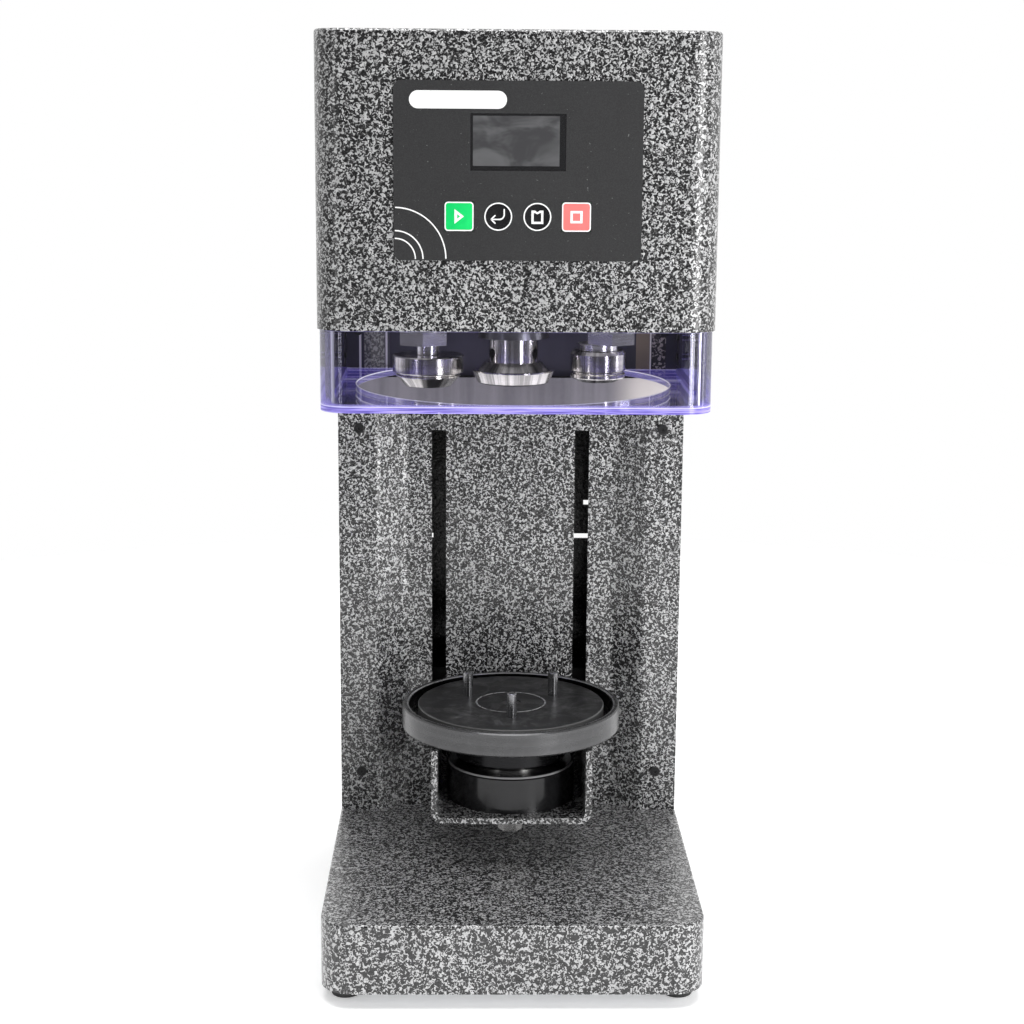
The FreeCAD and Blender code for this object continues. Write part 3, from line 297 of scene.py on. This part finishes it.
def hub_masks(s, col, r, z):
    well = s.math("MULTIPLY", s.span(r, 0.0686, 0.0690, 1.0, 0.0), s.span(z, 0.1462, 0.1472))
    col = s.mix(well, col, (0.0025, 0.0025, 0.0028))
    col = s.mix(s.span(z, 0.1400, 0.1412, 1.0, 0.0), col, (0.010, 0.010, 0.011))
    # painted highlight: a bright thin ring along the rim's top lip
    painted_lip_highlight = s.math("MULTIPLY", s.span(r, 0.0688, 0.0690), s.span(r, 0.0696, 0.0698, 1.0, 0.0))
    return s.mix(s.math("MULTIPLY", painted_lip_highlight, 0.8), col, (0.55, 0.55, 0.56))


def cylinder_painted_lip_highlight(s, col, r, z):
    # painted highlight: a bright thin arc along the cylinder's top lip
    painted_lip_highlight = s.math("MULTIPLY", s.span(z, 0.1166, 0.1170), s.span(r, 0.0412, 0.0418))
    col = s.mix(s.math("MULTIPLY", painted_lip_highlight, 0.85), col, (0.60, 0.60, 0.61))
    return col


def ground(name, base, rough=0.2, dirt=0.25, grain=1500):
    """Ground or plated steel with fine straight grinding marks and a few handling smears."""
    s = Shade(name)
    x, y, z = s.xyz()
    v = s.vec(s.math("MULTIPLY", x, float(grain) * 0.1), s.math("MULTIPLY", y, float(grain) * 0.1), s.math("MULTIPLY", z, float(grain)))
    lines = s.noise(1.0, 2.0, 0.6, v=v)
    smear = s.noise(130, 3.0, 0.6, 0.5)
    col = s.mix(s.math("MULTIPLY", s.span(smear, 0.42, 0.75), dirt), base, tuple(b * 0.5 for b in base))
    col = s.mix(s.math("MULTIPLY", s.edge(0.0004), 0.5), col, tuple(min(1.0, b * 1.3 + 0.02) for b in base))
    s.set(color=col, metal=1.0, rough=s.mixf(lines, rough - 0.04, rough + 0.16), normal=s.bump(lines, 0.00001, 0.6))
    return s.mat


def plastic(name, base, rough=0.4, grain=1400, depth=0.00003, coat=0.0, wear=0.25):
    s = Shade(name)
    g = s.noise(grain, 2.0, 0.55)
    big = s.noise(45, 3.0, 0.6)
    lift = tuple(min(1.0, b * 1.5 + 0.012) for b in base)
    col = s.mix(s.span(big, 0.35, 0.75, 0.0, 0.5), base, lift)
    col = s.mix(s.math("MULTIPLY", s.edge(0.0005), wear), col, tuple(min(1.0, b * 2.0 + 0.05) for b in base))
    s.set(color=col, rough=s.mixf(big, rough - 0.06, rough + 0.10), normal=s.bump(g, depth, 0.6), coat=coat)
    return s.mat


def violet_clear(name, floor=False):
    """Clear polycarbonate with a faint violet cast; the cut faces are violet with a painted glow, and a painted
    highlight runs along the top of the hole's cut face.
    """
    s = Shade(name)
    x, y, z = s.xyz()
    nx, ny, nz = s.xyz(s.normal())
    haze = s.noise(9, 3.0, 0.6)
    fine = s.noise(420, 3.0, 0.7)
    scratch = s.span(s.noise(1.0, 2.0, 0.6, v=s.vec(s.math("MULTIPLY", x, 260.0), s.math("MULTIPLY", y, 260.0), s.math("MULTIPLY", z, 18.0))), 0.66, 0.74)
    through = s.node("ShaderNodeBsdfTransparent")
    s.link(s.mix(haze, (0.945, 0.940, 0.990), (0.975, 0.970, 1.0)), through.inputs[0])
    lw = s.node("ShaderNodeFresnel")
    lw.inputs["IOR"].default_value = 1.55
    solid = s.math("ADD", s.math("MULTIPLY", lw.outputs[0], 0.9), s.math("MULTIPLY", scratch, 0.04), clamp=True)
    s.set(color=(0.86, 0.85, 0.98), rough=s.mixf(fine, 0.02, 0.07), metal=1.0)
    skin = s.node("ShaderNodeMixShader")
    s.link(solid, skin.inputs[0])
    s.link(through.outputs[0], skin.inputs[1])
    s.link(s.p.outputs[0], skin.inputs[2])
    # painted glow: the cut faces are a second shader that emits in their violet tone, though the plastic is no lamp
    painted_edge_glow = s.node("ShaderNodeBsdfPrincipled")
    painted_edge_glow.inputs["Roughness"].default_value = 0.3
    painted_edge_glow.inputs["Emission Strength"].default_value = 0.30
    grain = s.noise(700, 2.0, 0.6)
    lines = s.noise(1.0, 2.0, 0.6, v=s.vec(s.math("MULTIPLY", x, 24.0), s.math("MULTIPLY", y, 24.0), s.math("MULTIPLY", z, 1500.0)))
    if floor:
        r, _z, _dx, _dy = s.radius(AXIS)
        hole = s.span(r, 0.1045, 0.1055, 1.0, 0.0)
        edge_on = s.span(s.math("ABSOLUTE", nz), 0.35, 0.65, 1.0, 0.0)
        # painted highlight: the top of the hole's cut face is lighter and glows more
        painted_lip_highlight = s.span(z, 0.37325, 0.37345)
        rim = s.mix(s.span(lines, 0.42, 0.58), (0.10, 0.075, 0.42), (0.40, 0.34, 0.88))
        rim = s.mix(s.span(z, 0.3731, 0.3739), rim, (0.72, 0.70, 0.98))
        tone = s.mix(hole, rim, (0.93, 0.92, 1.0))
        amount = s.math("MULTIPLY", edge_on, s.mixf(hole, 0.80, s.math("MULTIPLY_ADD", painted_lip_highlight, 0.75, 0.10)))
        # painted glow spreading onto the floor round the hole
        painted_glow_spread = s.math("MULTIPLY", s.math("SUBTRACT", 1.0, edge_on), s.span(r, 0.1030, 0.1022, 0.0, 0.55))
        amount = s.math("MAXIMUM", amount, painted_glow_spread)
    else:
        # painted glow: the bottom band and the edge-on faces glow violet
        painted_bottom_glow = s.span(z, 0.3746, 0.3756, 1.0, 0.0)
        edge_on = s.span(s.math("ABSOLUTE", nz), 0.6, 0.85)
        tone = s.mix(grain, (0.30, 0.25, 0.78), (0.55, 0.50, 0.95))
        amount = s.math("MAXIMUM", s.math("MULTIPLY", painted_bottom_glow, 0.30), s.math("MULTIPLY", edge_on, 0.6))
    s.link(tone, painted_edge_glow.inputs["Base Color"])
    s.link(tone, painted_edge_glow.inputs["Emission Color"])
    whole = s.node("ShaderNodeMixShader")
    s.link(amount, whole.inputs[0])
    s.link(skin.outputs[0], whole.inputs[1])
    s.link(painted_edge_glow.outputs[0], whole.inputs[2])
    s.link(whole.outputs[0], s.out.inputs[0])
    return s.mat


def overlay_film():
    s = Shade("overlay_film")
    g = s.noise(1900, 2.0, 0.6)
    big = s.noise(28, 3.0, 0.6)
    dust = s.span(s.noise(520, 2.0, 0.7), 0.715, 0.76)
    col = s.mix(big, (0.0150, 0.0150, 0.0158), (0.0220, 0.0220, 0.0230))
    col = s.mix(s.span(g, 0.35, 0.7, 0.0, 0.7), col, (0.036, 0.036, 0.0375))
    col = s.mix(s.math("MULTIPLY", dust, 0.5), col, (0.25, 0.25, 0.25))
    s.set(color=col, rough=s.mixf(g, 0.48, 0.66), normal=s.bump(g, 0.00004, 0.6), spec=0.3)
    return s.mat


def display_glass():
    s = Shade("display_glass")
    x, y, z = s.xyz()
    inside_x = s.span(s.math("ABSOLUTE", s.math("ADD", x, 0.0012)), 0.0251, 0.0255, 1.0, 0.0)
    inside_z = s.span(s.math("ABSOLUTE", s.math("SUBTRACT", z, 0.5310)), 0.0142, 0.0146, 1.0, 0.0)
    lcd = s.math("MULTIPLY", inside_x, inside_z)
    v = s.vec(s.math("MULTIPLY_ADD", x, 34.0, 2.0), 0.0, s.math("MULTIPLY", z, 60.0))
    cloud = s.noise(1.0, 3.0, 0.6, 0.8, v=v)
    cells = s.math("ABSOLUTE", s.math("SINE", s.math("MULTIPLY", z, 5200.0)))
    tone = s.mix(s.span(cloud, 0.35, 0.68), (0.050, 0.050, 0.053), (0.115, 0.116, 0.120))
    tone = s.mix(s.math("MULTIPLY", cells, 0.12), tone, (0.03, 0.03, 0.032))
    col = s.mix(lcd, (0.012, 0.012, 0.013), tone)
    smudge = s.noise(60, 3.0, 0.6)
    s.set(color=col, rough=s.mixf(smudge, 0.08, 0.22), coat=0.6, coat_rough=0.05, spec=0.5)
    return s.mat


def rubber_disc():
    """The black friction disc: an engraved ring, scuffs and the smears of can bottoms."""
    s = Shade("black_rubber_disc")
    r, z, dx, dy = s.radius(AXIS)
    x, y, _z = s.xyz()
    ring = s.math("MULTIPLY", s.span(r, 0.0224, 0.0228), s.span(r, 0.0234, 0.0238, 1.0, 0.0))
    broken = s.span(s.noise(480, 2.0, 0.6), 0.34, 0.50)
    ang = s.math("ARCTAN2", dy, dx)
    arc = s.noise(1.0, 3.0, 0.65, v=s.vec(s.math("MULTIPLY", r, 900.0), s.math("MULTIPLY", ang, 2.2), 3.0))
    worn = s.span(arc, 0.50, 0.66)
    blot = s.span(s.noise(34, 4.0, 0.65, 1.2), 0.44, 0.62)
    fan = s.noise(1.0, 4.0, 0.7, 0.8, v=s.vec(s.math("MULTIPLY", r, 90.0), s.math("MULTIPLY", ang, 4.6), 8.0))
    fan = s.math("MULTIPLY", s.span(fan, 0.50, 0.64), s.math("MULTIPLY", s.span(r, 0.026, 0.036), s.span(r, 0.052, 0.060, 1.0, 0.0)))
    dots = s.span(s.noise(900, 2.0, 0.6), 0.66, 0.74)
    line = s.span(s.noise(1.0, 2.0, 0.6, v=s.vec(s.math("MULTIPLY", x, 60.0), s.math("MULTIPLY", y, 700.0), 5.0)), 0.62, 0.70)
    col = s.mix(s.noise(240, 2.0), (0.008, 0.008, 0.0085), (0.022, 0.022, 0.023))
    col = s.mix(s.math("MULTIPLY", s.math("MULTIPLY", worn, blot), 0.35), col, (0.15, 0.15, 0.15))
    col = s.mix(s.math("MULTIPLY", fan, 0.32), col, (0.17, 0.17, 0.17))
    col = s.mix(s.math("MULTIPLY", line, s.math("MULTIPLY", blot, 0.4)), col, (0.22, 0.22, 0.22))
    col = s.mix(s.math("MULTIPLY", dots, 0.35), col, (0.20, 0.20, 0.20))
    col = s.mix(s.math("MULTIPLY", s.math("MULTIPLY", ring, broken), 0.9), col, (0.55, 0.55, 0.55))
    rim = s.span(r, 0.0618, 0.0624)
    col = s.mix(s.math("MULTIPLY", rim, 0.6), col, (0.16, 0.16, 0.16))
    h = s.math("SUBTRACT", s.math("MULTIPLY", arc, 0.25), ring)
    s.set(color=col, rough=s.mixf(blot, 0.46, 0.30), normal=s.bump(h, 0.00010, 0.7))
    return s.mat


def circuit():
    s = Shade("circuit_board")
    x, y, z = s.xyz()
    tr = s.voronoi(260, "DISTANCE_TO_EDGE")
    lines = s.span(tr, 0.02, 0.06, 1.0, 0.0)
    col = s.mix(s.noise(80, 2.0), (0.010, 0.085, 0.035), (0.015, 0.12, 0.05))
    col = s.mix(s.math("MULTIPLY", lines, 0.7), col, (0.03, 0.22, 0.08))
    s.set(color=col, rough=0.35, coat=0.3, normal=s.bump(lines, 0.00004, 0.6))
    return s.mat


def satin_apron_painted_light():
    s = Shade("satin_steel")
    x, y, z = s.xyz()
    streak = s.noise(1.0, 3.0, 0.6, v=s.vec(s.math("MULTIPLY", x, 75.0), 0.0, s.math("MULTIPLY", z, 4.0)))
    fine = s.noise(1.0, 2.0, 0.6, v=s.vec(s.math("MULTIPLY", x, 2600.0), 0.0, s.math("MULTIPLY", z, 60.0)))
    mott = s.noise(330, 2.0, 0.6)
    # painted reflections: broad soft vertical bands, lighter and darker
    col = s.mix(s.span(streak, 0.32, 0.68), (0.150, 0.145, 0.160), (0.250, 0.240, 0.255))
    col = s.mix(s.math("MULTIPLY", mott, 0.3), col, (0.32, 0.30, 0.33))
    # painted highlight: the right side turns cream where the light from the right falls
    col = s.mix(s.span(x, 0.064, 0.092), col, (0.66, 0.62, 0.57))
    s.set(color=col, metal=0.45, rough=s.mixf(fine, 0.42, 0.58), normal=s.bump(fine, 0.00002, 0.6))
    return s.mat


def chamber_painted_light():
    s = Shade("dark_navy")
    x, y, z = s.xyz()
    n = s.noise(520, 0.8, 0.5, 0.9)
    streak = s.noise(1.0, 2.0, 0.5, v=s.vec(s.math("MULTIPLY", x, 60.0), s.math("MULTIPLY", y, 60.0), s.math("MULTIPLY", z, 6.0)))
    # painted shade: the chamber's back is dark navy, a shaded copy of the column panel behind the violet guard
    col = s.mix(streak, (0.012, 0.010, 0.026), (0.030, 0.026, 0.052))

    def band(a, b):
        return s.math("MULTIPLY", s.math("GREATER_THAN", x, a), s.math("LESS_THAN", x, b))

    # painted light: a mottled grey band, the lit copy of the hammertone flat
    col = s.mix(band(-0.1010, -0.0875), col, s.mix(s.span(n, 0.44, 0.60), (0.06, 0.058, 0.066), (0.24, 0.235, 0.25)))
    # painted highlights: thin light lines on the edges of the bends
    col = s.mix(band(-0.1045, -0.1030), col, (0.62, 0.60, 0.68))
    col = s.mix(band(-0.0868, -0.0855), col, (0.50, 0.48, 0.56))
    # a brown band over the right bend
    col = s.mix(band(0.0860, 0.0948), col, s.mix(streak, (0.13, 0.095, 0.075), (0.24, 0.19, 0.155)))
    # painted highlight: a thin light line
    col = s.mix(band(0.0950, 0.0960), col, (0.75, 0.72, 0.70))
    # painted glints: a dark band on the right with sparse hammertone glints
    col = s.mix(band(0.0965, 0.1060), col, s.mix(s.span(n, 0.50, 0.62), (0.012, 0.010, 0.012), (0.34, 0.30, 0.30)))
    s.set(color=col, rough=s.mixf(n, 0.30, 0.44), normal=s.bump(n, 0.00012, 0.5), spec=0.4)
    return s.mat


HAMMER = hammertone("hammertone")
FINISH = {
    "hammertone": HAMMER,
    "zinc_sheet": sheet_metal("zinc_sheet", (0.56, 0.57, 0.58)),
    "rubber": plastic("rubber", (0.016, 0.016, 0.016), 0.72, 1800, 0.00005, 0.0, 0.1),
    "satin_steel": satin_apron_painted_light(),
    "dark_navy": chamber_painted_light(),
    "ground_steel": ground("ground_steel", (0.74, 0.73, 0.72), 0.16),
    "aluminium": cast_metal("aluminium", (0.66, 0.66, 0.67), 0.36, 1.0, 1400, 0.00003),
    "black_plastic": plastic("black_plastic", (0.014, 0.014, 0.015), 0.42),
    "motor_black": cast_metal("motor_black", (0.018, 0.018, 0.019), 0.42, 0.2, 800, 0.00006),
    "violet_strip": plastic("violet_strip", (0.24, 0.20, 0.66), 0.28, 600, 0.00003, 0.3, 0.4),
    "dark_steel": ground("dark_steel", (0.17, 0.17, 0.18), 0.26, 0.4),
    "motor_silver": cast_metal("motor_silver", (0.55, 0.56, 0.57), 0.34, 1.0, 900, 0.00003),
    "arm_steel": ground("arm_steel", (0.46, 0.46, 0.47), 0.28, 0.35, 1200),
    "nickel_steel": ground("nickel_steel", (0.80, 0.79, 0.78), 0.15, 0.18, 900),
    "brass": ground("brass", (0.72, 0.50, 0.20), 0.24, 0.35),
    "pin_steel": ground("pin_steel", (0.24, 0.24, 0.25), 0.18, 0.3),
    "black_rubber_disc": rubber_disc(),
    "overlay_film": overlay_film(),
    "display_glass": display_glass(),
    "display_dark": plastic("display_dark", (0.012, 0.012, 0.013), 0.35),
    "circuit_board": circuit(),
    "button_green": plastic("button_green", (0.0, 0.56, 0.125), 0.34, 1200, 0.00001, 0.25, 0.0),
    "button_black": plastic("button_black", (0.010, 0.010, 0.011), 0.20, 1200, 0.00001, 0.4, 0.0),
    "button_red": plastic("button_red", (0.88, 0.185, 0.175), 0.36, 1200, 0.00001, 0.25, 0.0),
    "black_screw": cast_metal("black_screw", (0.022, 0.022, 0.023), 0.30, 0.5, 1300, 0.00004),
}
NODE_FINISH = {
    "guard_shell": violet_clear("clear_guard_shell"),
    "guard_floor": violet_clear("clear_guard_floor", True),
    "seaming_chuck": turned("chuck_steel_centre", AXIS, (0.60, 0.58, 0.56), 0.14, warm=1.0, painted_reflection_streaks=0.6),
    "first_roller": turned("chuck_steel_left", LEFT, (0.66, 0.64, 0.61), 0.14, warm=1.0, painted_reflection_streaks=0.6),
    "second_roller": turned("chuck_steel_right", RIGHT, (0.66, 0.64, 0.62), 0.15, warm=1.0, painted_reflection_streaks=0.6),
    "roller_cam": turned("chuck_steel_cam", (0.0, 0.060), (0.55, 0.55, 0.55), 0.2),
    "spindle_shaft": turned("spindle_steel", AXIS, (0.76, 0.74, 0.72), 0.13, warm=1.0, painted_reflection_streaks=0.55),
    "turntable_hub": turned("table_grey", AXIS, (0.075, 0.075, 0.077), 0.27, 0.75, 1900, 0.00002, extra=hub_masks),
    "lifter_cylinder": turned("black_anodised", AXIS, (0.012, 0.012, 0.013), 0.17, 0.35, 2200, 0.000012, extra=cylinder_painted_lip_highlight),
    "carriage_block": cast_metal("black_anodised_block", (0.008, 0.008, 0.009), 0.5, 0.3, 1400, 0.00003),
}
for node_name, obj in NODES.items():
    slot_name = obj.data.materials[0].name.split(".")[0]
    obj.data.materials[0] = NODE_FINISH.get(node_name) or FINISH[slot_name]


# ---------------------------------------------------------------- printed pieces
def link_mesh(name, bm, material, body, smooth=False):
    me = bpy.data.meshes.new(name)
    bmesh.ops.recalc_face_normals(bm, faces=bm.faces)
    bm.to_mesh(me)
    bm.free()
    for p in me.polygons:
        p.use_smooth = smooth
    me.materials.append(material)
    ob = bpy.data.objects.new(name, me)
    bpy.context.scene.collection.objects.link(ob)
    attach(ob, body)
    return ob


def ring_strip(bm, outer, inner, y0, y1):
    """A closed printed band between two outlines of the same number of (x, z) points, from depth y0 (front) to y1."""
    n = len(outer)
    rows = []
    for pts, y in ((outer, y1), (outer, y0), (inner, y0), (inner, y1)):
        rows.append([bm.verts.new((p[0], y, p[1])) for p in pts])
    for i in range(n):
        j = (i + 1) % n
        for a, b in ((0, 1), (1, 2), (2, 3), (3, 0)):
            bm.faces.new((rows[a][i], rows[a][j], rows[b][j], rows[b][i]))


def plate(bm, pts, y0, y1):
    front = [bm.verts.new((p[0], y0, p[1])) for p in pts]
    back = [bm.verts.new((p[0], y1, p[1])) for p in pts]
    bm.faces.new(front)
    bm.faces.new(list(reversed(back)))
    n = len(pts)
    for i in range(n):
        j = (i + 1) % n
        bm.faces.new((front[i], back[i], back[j], front[j]))


def rounded(cx, cz, w, h, r, steps=8):
    pts = []
    for sx, sz, a0 in ((1, 1, 0), (-1, 1, 90), (-1, -1, 180), (1, -1, 270)):
        ox, oz = cx + sx * (w / 2 - r), cz + sz * (h / 2 - r)
        for k in range(steps + 1):
            a = math.radians(a0 + 90 * k / steps)
            pts.append((ox + r * math.cos(a), oz + r * math.sin(a)))
    return pts


def circle(cx, cz, r, n=72):
    return [(cx + r * math.cos(2 * math.pi * k / n), cz + r * math.sin(2 * math.pi * k / n)) for k in range(n)]


def stroke(bm, pts, width, y0, y1, caps=6):
    """A printed line of even width through (x, z) points, with round ends and joins."""
    half = width / 2
    left, right = [], []
    n = len(pts)
    for i, (x, z) in enumerate(pts):
        a = pts[max(i - 1, 0)]
        b = pts[min(i + 1, n - 1)]
        d = Vector((b[0] - a[0], b[1] - a[1])).normalized()
        nx, nz = -d.y, d.x
        grow = 1.0
        if 0 < i < n - 1:
            d1 = Vector((x - a[0], z - a[1])).normalized()
            d2 = Vector((b[0] - x, b[1] - z)).normalized()
            grow = 1.0 / max(0.45, math.cos(d1.angle(d2) / 2 if d1.length and d2.length else 0))
        left.append((x + nx * half * grow, z + nz * half * grow))
        right.append((x - nx * half * grow, z - nz * half * grow))
    d = Vector((pts[-1][0] - pts[-2][0], pts[-1][1] - pts[-2][1])).normalized()
    a0 = math.atan2(d.y, d.x)
    end = [(pts[-1][0] + half * math.cos(a0 + math.pi / 2 - math.pi * k / caps), pts[-1][1] + half * math.sin(a0 + math.pi / 2 - math.pi * k / caps)) for k in range(1, caps)]
    d = Vector((pts[0][0] - pts[1][0], pts[0][1] - pts[1][1])).normalized()
    a1 = math.atan2(d.y, d.x)
    start = [(pts[0][0] + half * math.cos(a1 + math.pi / 2 - math.pi * k / caps), pts[0][1] + half * math.sin(a1 + math.pi / 2 - math.pi * k / caps)) for k in range(1, caps)]
    loop = left + end + list(reversed(right)) + start
    front = [bm.verts.new((p[0], y0, p[1])) for p in loop]
    back = [bm.verts.new((p[0], y1, p[1])) for p in loop]
    m = len(loop)
    for i in range(m):
        j = (i + 1) % m
        bm.faces.new((front[i], back[i], back[j], front[j]))
    # the two faces as strips between the sides, so that a bent line has no overlapping face
    for side, flip in ((front, False), (back, True)):
        L = side[:n]
        R = list(reversed(side[n + len(end):n + len(end) + n]))
        for i in range(n - 1):
            q = (L[i], L[i + 1], R[i + 1], R[i])
            bm.faces.new(q if not flip else tuple(reversed(q)))
        cap_end = [L[n - 1]] + side[n:n + len(end)] + [R[n - 1]]
        bm.faces.new(cap_end if not flip else list(reversed(cap_end)))
        cap_start = [R[0]] + side[n + len(end) + n:] + [L[0]]
        bm.faces.new(cap_start if not flip else list(reversed(cap_start)))


def print_ink_glowing(name, base=(0.86, 0.86, 0.86)):
    s = Shade(name)
    g = s.noise(2600, 2.0, 0.6)
    wear = s.span(s.noise(520, 3.0, 0.7), 0.68, 0.78)
    col = s.mix(s.math("MULTIPLY", wear, 0.35), s.mix(g, base, tuple(b * 0.9 for b in base)), (0.30, 0.30, 0.30))
    # painted glow: the ink emits a little of its own colour, though it is no lamp
    s.set(color=col, rough=s.mixf(g, 0.38, 0.55), normal=s.bump(g, 0.00001, 0.4), emit=col, emit_power=0.10)
    return s.mat


INK = print_ink_glowing("white_print")
PY0, PY1 = -0.12236, -0.12228        # print on the overlay
KY0, KY1 = -0.12266, -0.12258        # print on the keys
KX = {"start": -34.5 * MM, "back": -11.5 * MM, "mode": 11.5 * MM, "stop": 34.5 * MM}
KZ = 487.3 * MM

# bare white label field, and a plain arc motif in the lower corner of the overlay
bm = bmesh.new()
plate(bm, rounded(-35.25 * MM, 554.5 * MM, 56.9 * MM, 10.3 * MM, 5.1 * MM, 14), PY0, PY1)
link_mesh("label_field", bm, INK, "frame")
bm = bmesh.new()
cx, cz = -72.2 * MM, 462.3 * MM
for rr, w in ((12.0, 0.75), (16.5, 0.75), (30.0, 0.75)):
    pts = [(cx + rr * MM * math.cos(math.radians(a)), cz + rr * MM * math.sin(math.radians(a))) for a in range(1, 90, 2)]
    stroke(bm, pts, w * MM, PY0, PY1)
link_mesh("corner_arcs", bm, INK, "frame")

# key borders and key symbols
for key in ("start", "stop"):
    bm = bmesh.new()
    ring_strip(bm, rounded(KX[key], KZ, 17.0 * MM, 17.0 * MM, 2.0 * MM), rounded(KX[key], KZ, 15.6 * MM, 15.6 * MM, 1.5 * MM), KY0, KY1)
    if key == "start":
        tri_o = [(-2.7, 4.3), (-2.7, -4.3), (2.9, 0.0)]
        tri_i = [(-1.1, 1.35), (-1.1, -1.35), (0.65, 0.0)]
        ring_strip(bm, [(KX[key] + a * MM, KZ + b * MM) for a, b in tri_o], [(KX[key] + a * MM, KZ + b * MM) for a, b in tri_i], KY0, KY1)
    else:
        ring_strip(bm, rounded(KX[key], KZ, 7.2 * MM, 7.2 * MM, 0.3 * MM), rounded(KX[key], KZ, 4.4 * MM, 4.4 * MM, 0.2 * MM), KY0, KY1)
    link_mesh(key + "_key_print", bm, INK, key + "_key")
for key in ("back", "mode"):
    bm = bmesh.new()
    ring_strip(bm, circle(KX[key], KZ, 8.2 * MM), circle(KX[key], KZ, 7.45 * MM), KY0, KY1)
    if key == "back":
        line = [(3.5, 4.1), (3.5, 1.2)]
        for k in range(1, 9):
            a = math.radians(-90 * k / 9)
            line.append((0.7 + 2.8 * math.cos(a), 1.2 + 2.8 * math.sin(a)))
        line += [(0.7, -1.6), (-3.9, -1.6)]
        stroke(bm, [(KX[key] + a * MM, KZ + b * MM) for a, b in line], 0.8 * MM, KY0, KY1)
        stroke(bm, [(KX[key] + a * MM, KZ + b * MM) for a, b in ((-1.9, 0.6), (-4.2, -1.6))], 0.8 * MM, KY0 - 0.00001, KY1)
        stroke(bm, [(KX[key] + a * MM, KZ + b * MM) for a, b in ((-4.2, -1.6), (-1.9, -3.8))], 0.8 * MM, KY0 - 0.00001, KY1)
    else:
        o = [(-3.5, 3.7), (-3.5, -4.1), (3.5, -4.1), (3.5, 3.7), (1.5, 3.7), (0.0, 2.7), (-1.5, 3.7)]
        i_ = [(-2.2, 2.3), (-2.2, -2.8), (2.2, -2.8), (2.2, 2.3), (1.5, 2.3), (0.0, 1.5), (-1.5, 2.3)]
        ring_strip(bm, [(KX[key] + a * MM, KZ + b * MM) for a, b in o], [(KX[key] + a * MM, KZ + b * MM) for a, b in i_], KY0, KY1)
    link_mesh(key + "_key_print", bm, INK, key + "_key")


# ---------------------------------------------------------------- floor, light
def floor_and_light():
    s = Shade("pale_floor")
    c = s.mix(s.noise(2.0, 2.0), (0.90, 0.90, 0.90), (0.93, 0.93, 0.93))
    s.set(color=c, rough=0.75, spec=0.2, emit=c, emit_power=0.30)
    bm = bmesh.new()
    for a in range(96):
        t = 2 * math.pi * a / 96
        bm.verts.new((1.25 * math.cos(t), 1.25 * math.sin(t), -0.0003))
    bm.faces.new(bm.verts)
    me = bpy.data.meshes.new("floor")
    bm.to_mesh(me)
    bm.free()
    me.materials.append(s.mat)
    ob = bpy.data.objects.new("floor", me)
    bpy.context.scene.collection.objects.link(ob)

    world = bpy.data.worlds.new("studio")
    bpy.context.scene.world = world
    world.use_nodes = True
    nt = world.node_tree
    nt.nodes.clear()
    out = nt.nodes.new("ShaderNodeOutputWorld")
    bg = nt.nodes.new("ShaderNodeBackground")
    white = nt.nodes.new("ShaderNodeBackground")
    white.inputs["Strength"].default_value = 1.0
    white.inputs["Color"].default_value = (1.0, 1.0, 1.0, 1.0)
    path = nt.nodes.new("ShaderNodeLightPath")
    pick = nt.nodes.new("ShaderNodeMixShader")
    co = nt.nodes.new("ShaderNodeTexCoord")
    sep = nt.nodes.new("ShaderNodeSeparateXYZ")
    ramp = nt.nodes.new("ShaderNodeMapRange")
    ramp.interpolation_type = "SMOOTHSTEP"
    ramp.inputs["From Min"].default_value = -0.55
    ramp.inputs["From Max"].default_value = 0.45
    ramp.inputs["To Min"].default_value = 0.11
    ramp.inputs["To Max"].default_value = 1.0
    nt.links.new(co.outputs["Generated"], sep.inputs[0])
    nt.links.new(sep.outputs[1], ramp.inputs["Value"])
    nt.links.new(ramp.outputs[0], bg.inputs["Strength"])
    bg.inputs["Color"].default_value = (1.0, 1.0, 1.0, 1.0)
    nt.links.new(path.outputs["Is Camera Ray"], pick.inputs[0])
    nt.links.new(bg.outputs[0], pick.inputs[1])
    nt.links.new(white.outputs[0], pick.inputs[2])
    nt.links.new(pick.outputs[0], out.inputs[0])

    def area(name, where, at, size, radiance, color=(1, 1, 1)):
        d = bpy.data.lights.new(name, "AREA")
        d.shape = "RECTANGLE"
        d.size, d.size_y = size
        d.energy = radiance * math.pi * size[0] * size[1]
        d.color = color
        o = bpy.data.objects.new(name, d)
        bpy.context.scene.collection.objects.link(o)
        o.location = where
        o.rotation_euler = (Vector(at) - Vector(where)).to_track_quat("-Z", "Y").to_euler()

    area("key_right", (0.92, -1.18, 0.50), (0.0, -0.02, 0.34), (0.34, 1.15), 13.0)
    area("side_right", (1.5, -0.15, 0.55), (0.0, 0.0, 0.32), (0.25, 1.1), 4.0)
    area("strip_left", (-0.85, -1.05, 0.52), (0.0, 0.0, 0.32), (0.10, 1.0), 5.5)
    area("top", (0.0, -0.35, 1.75), (0.0, -0.02, 0.3), (1.3, 0.9), 6.5)


floor_and_light()

bpy.context.view_layer.update()
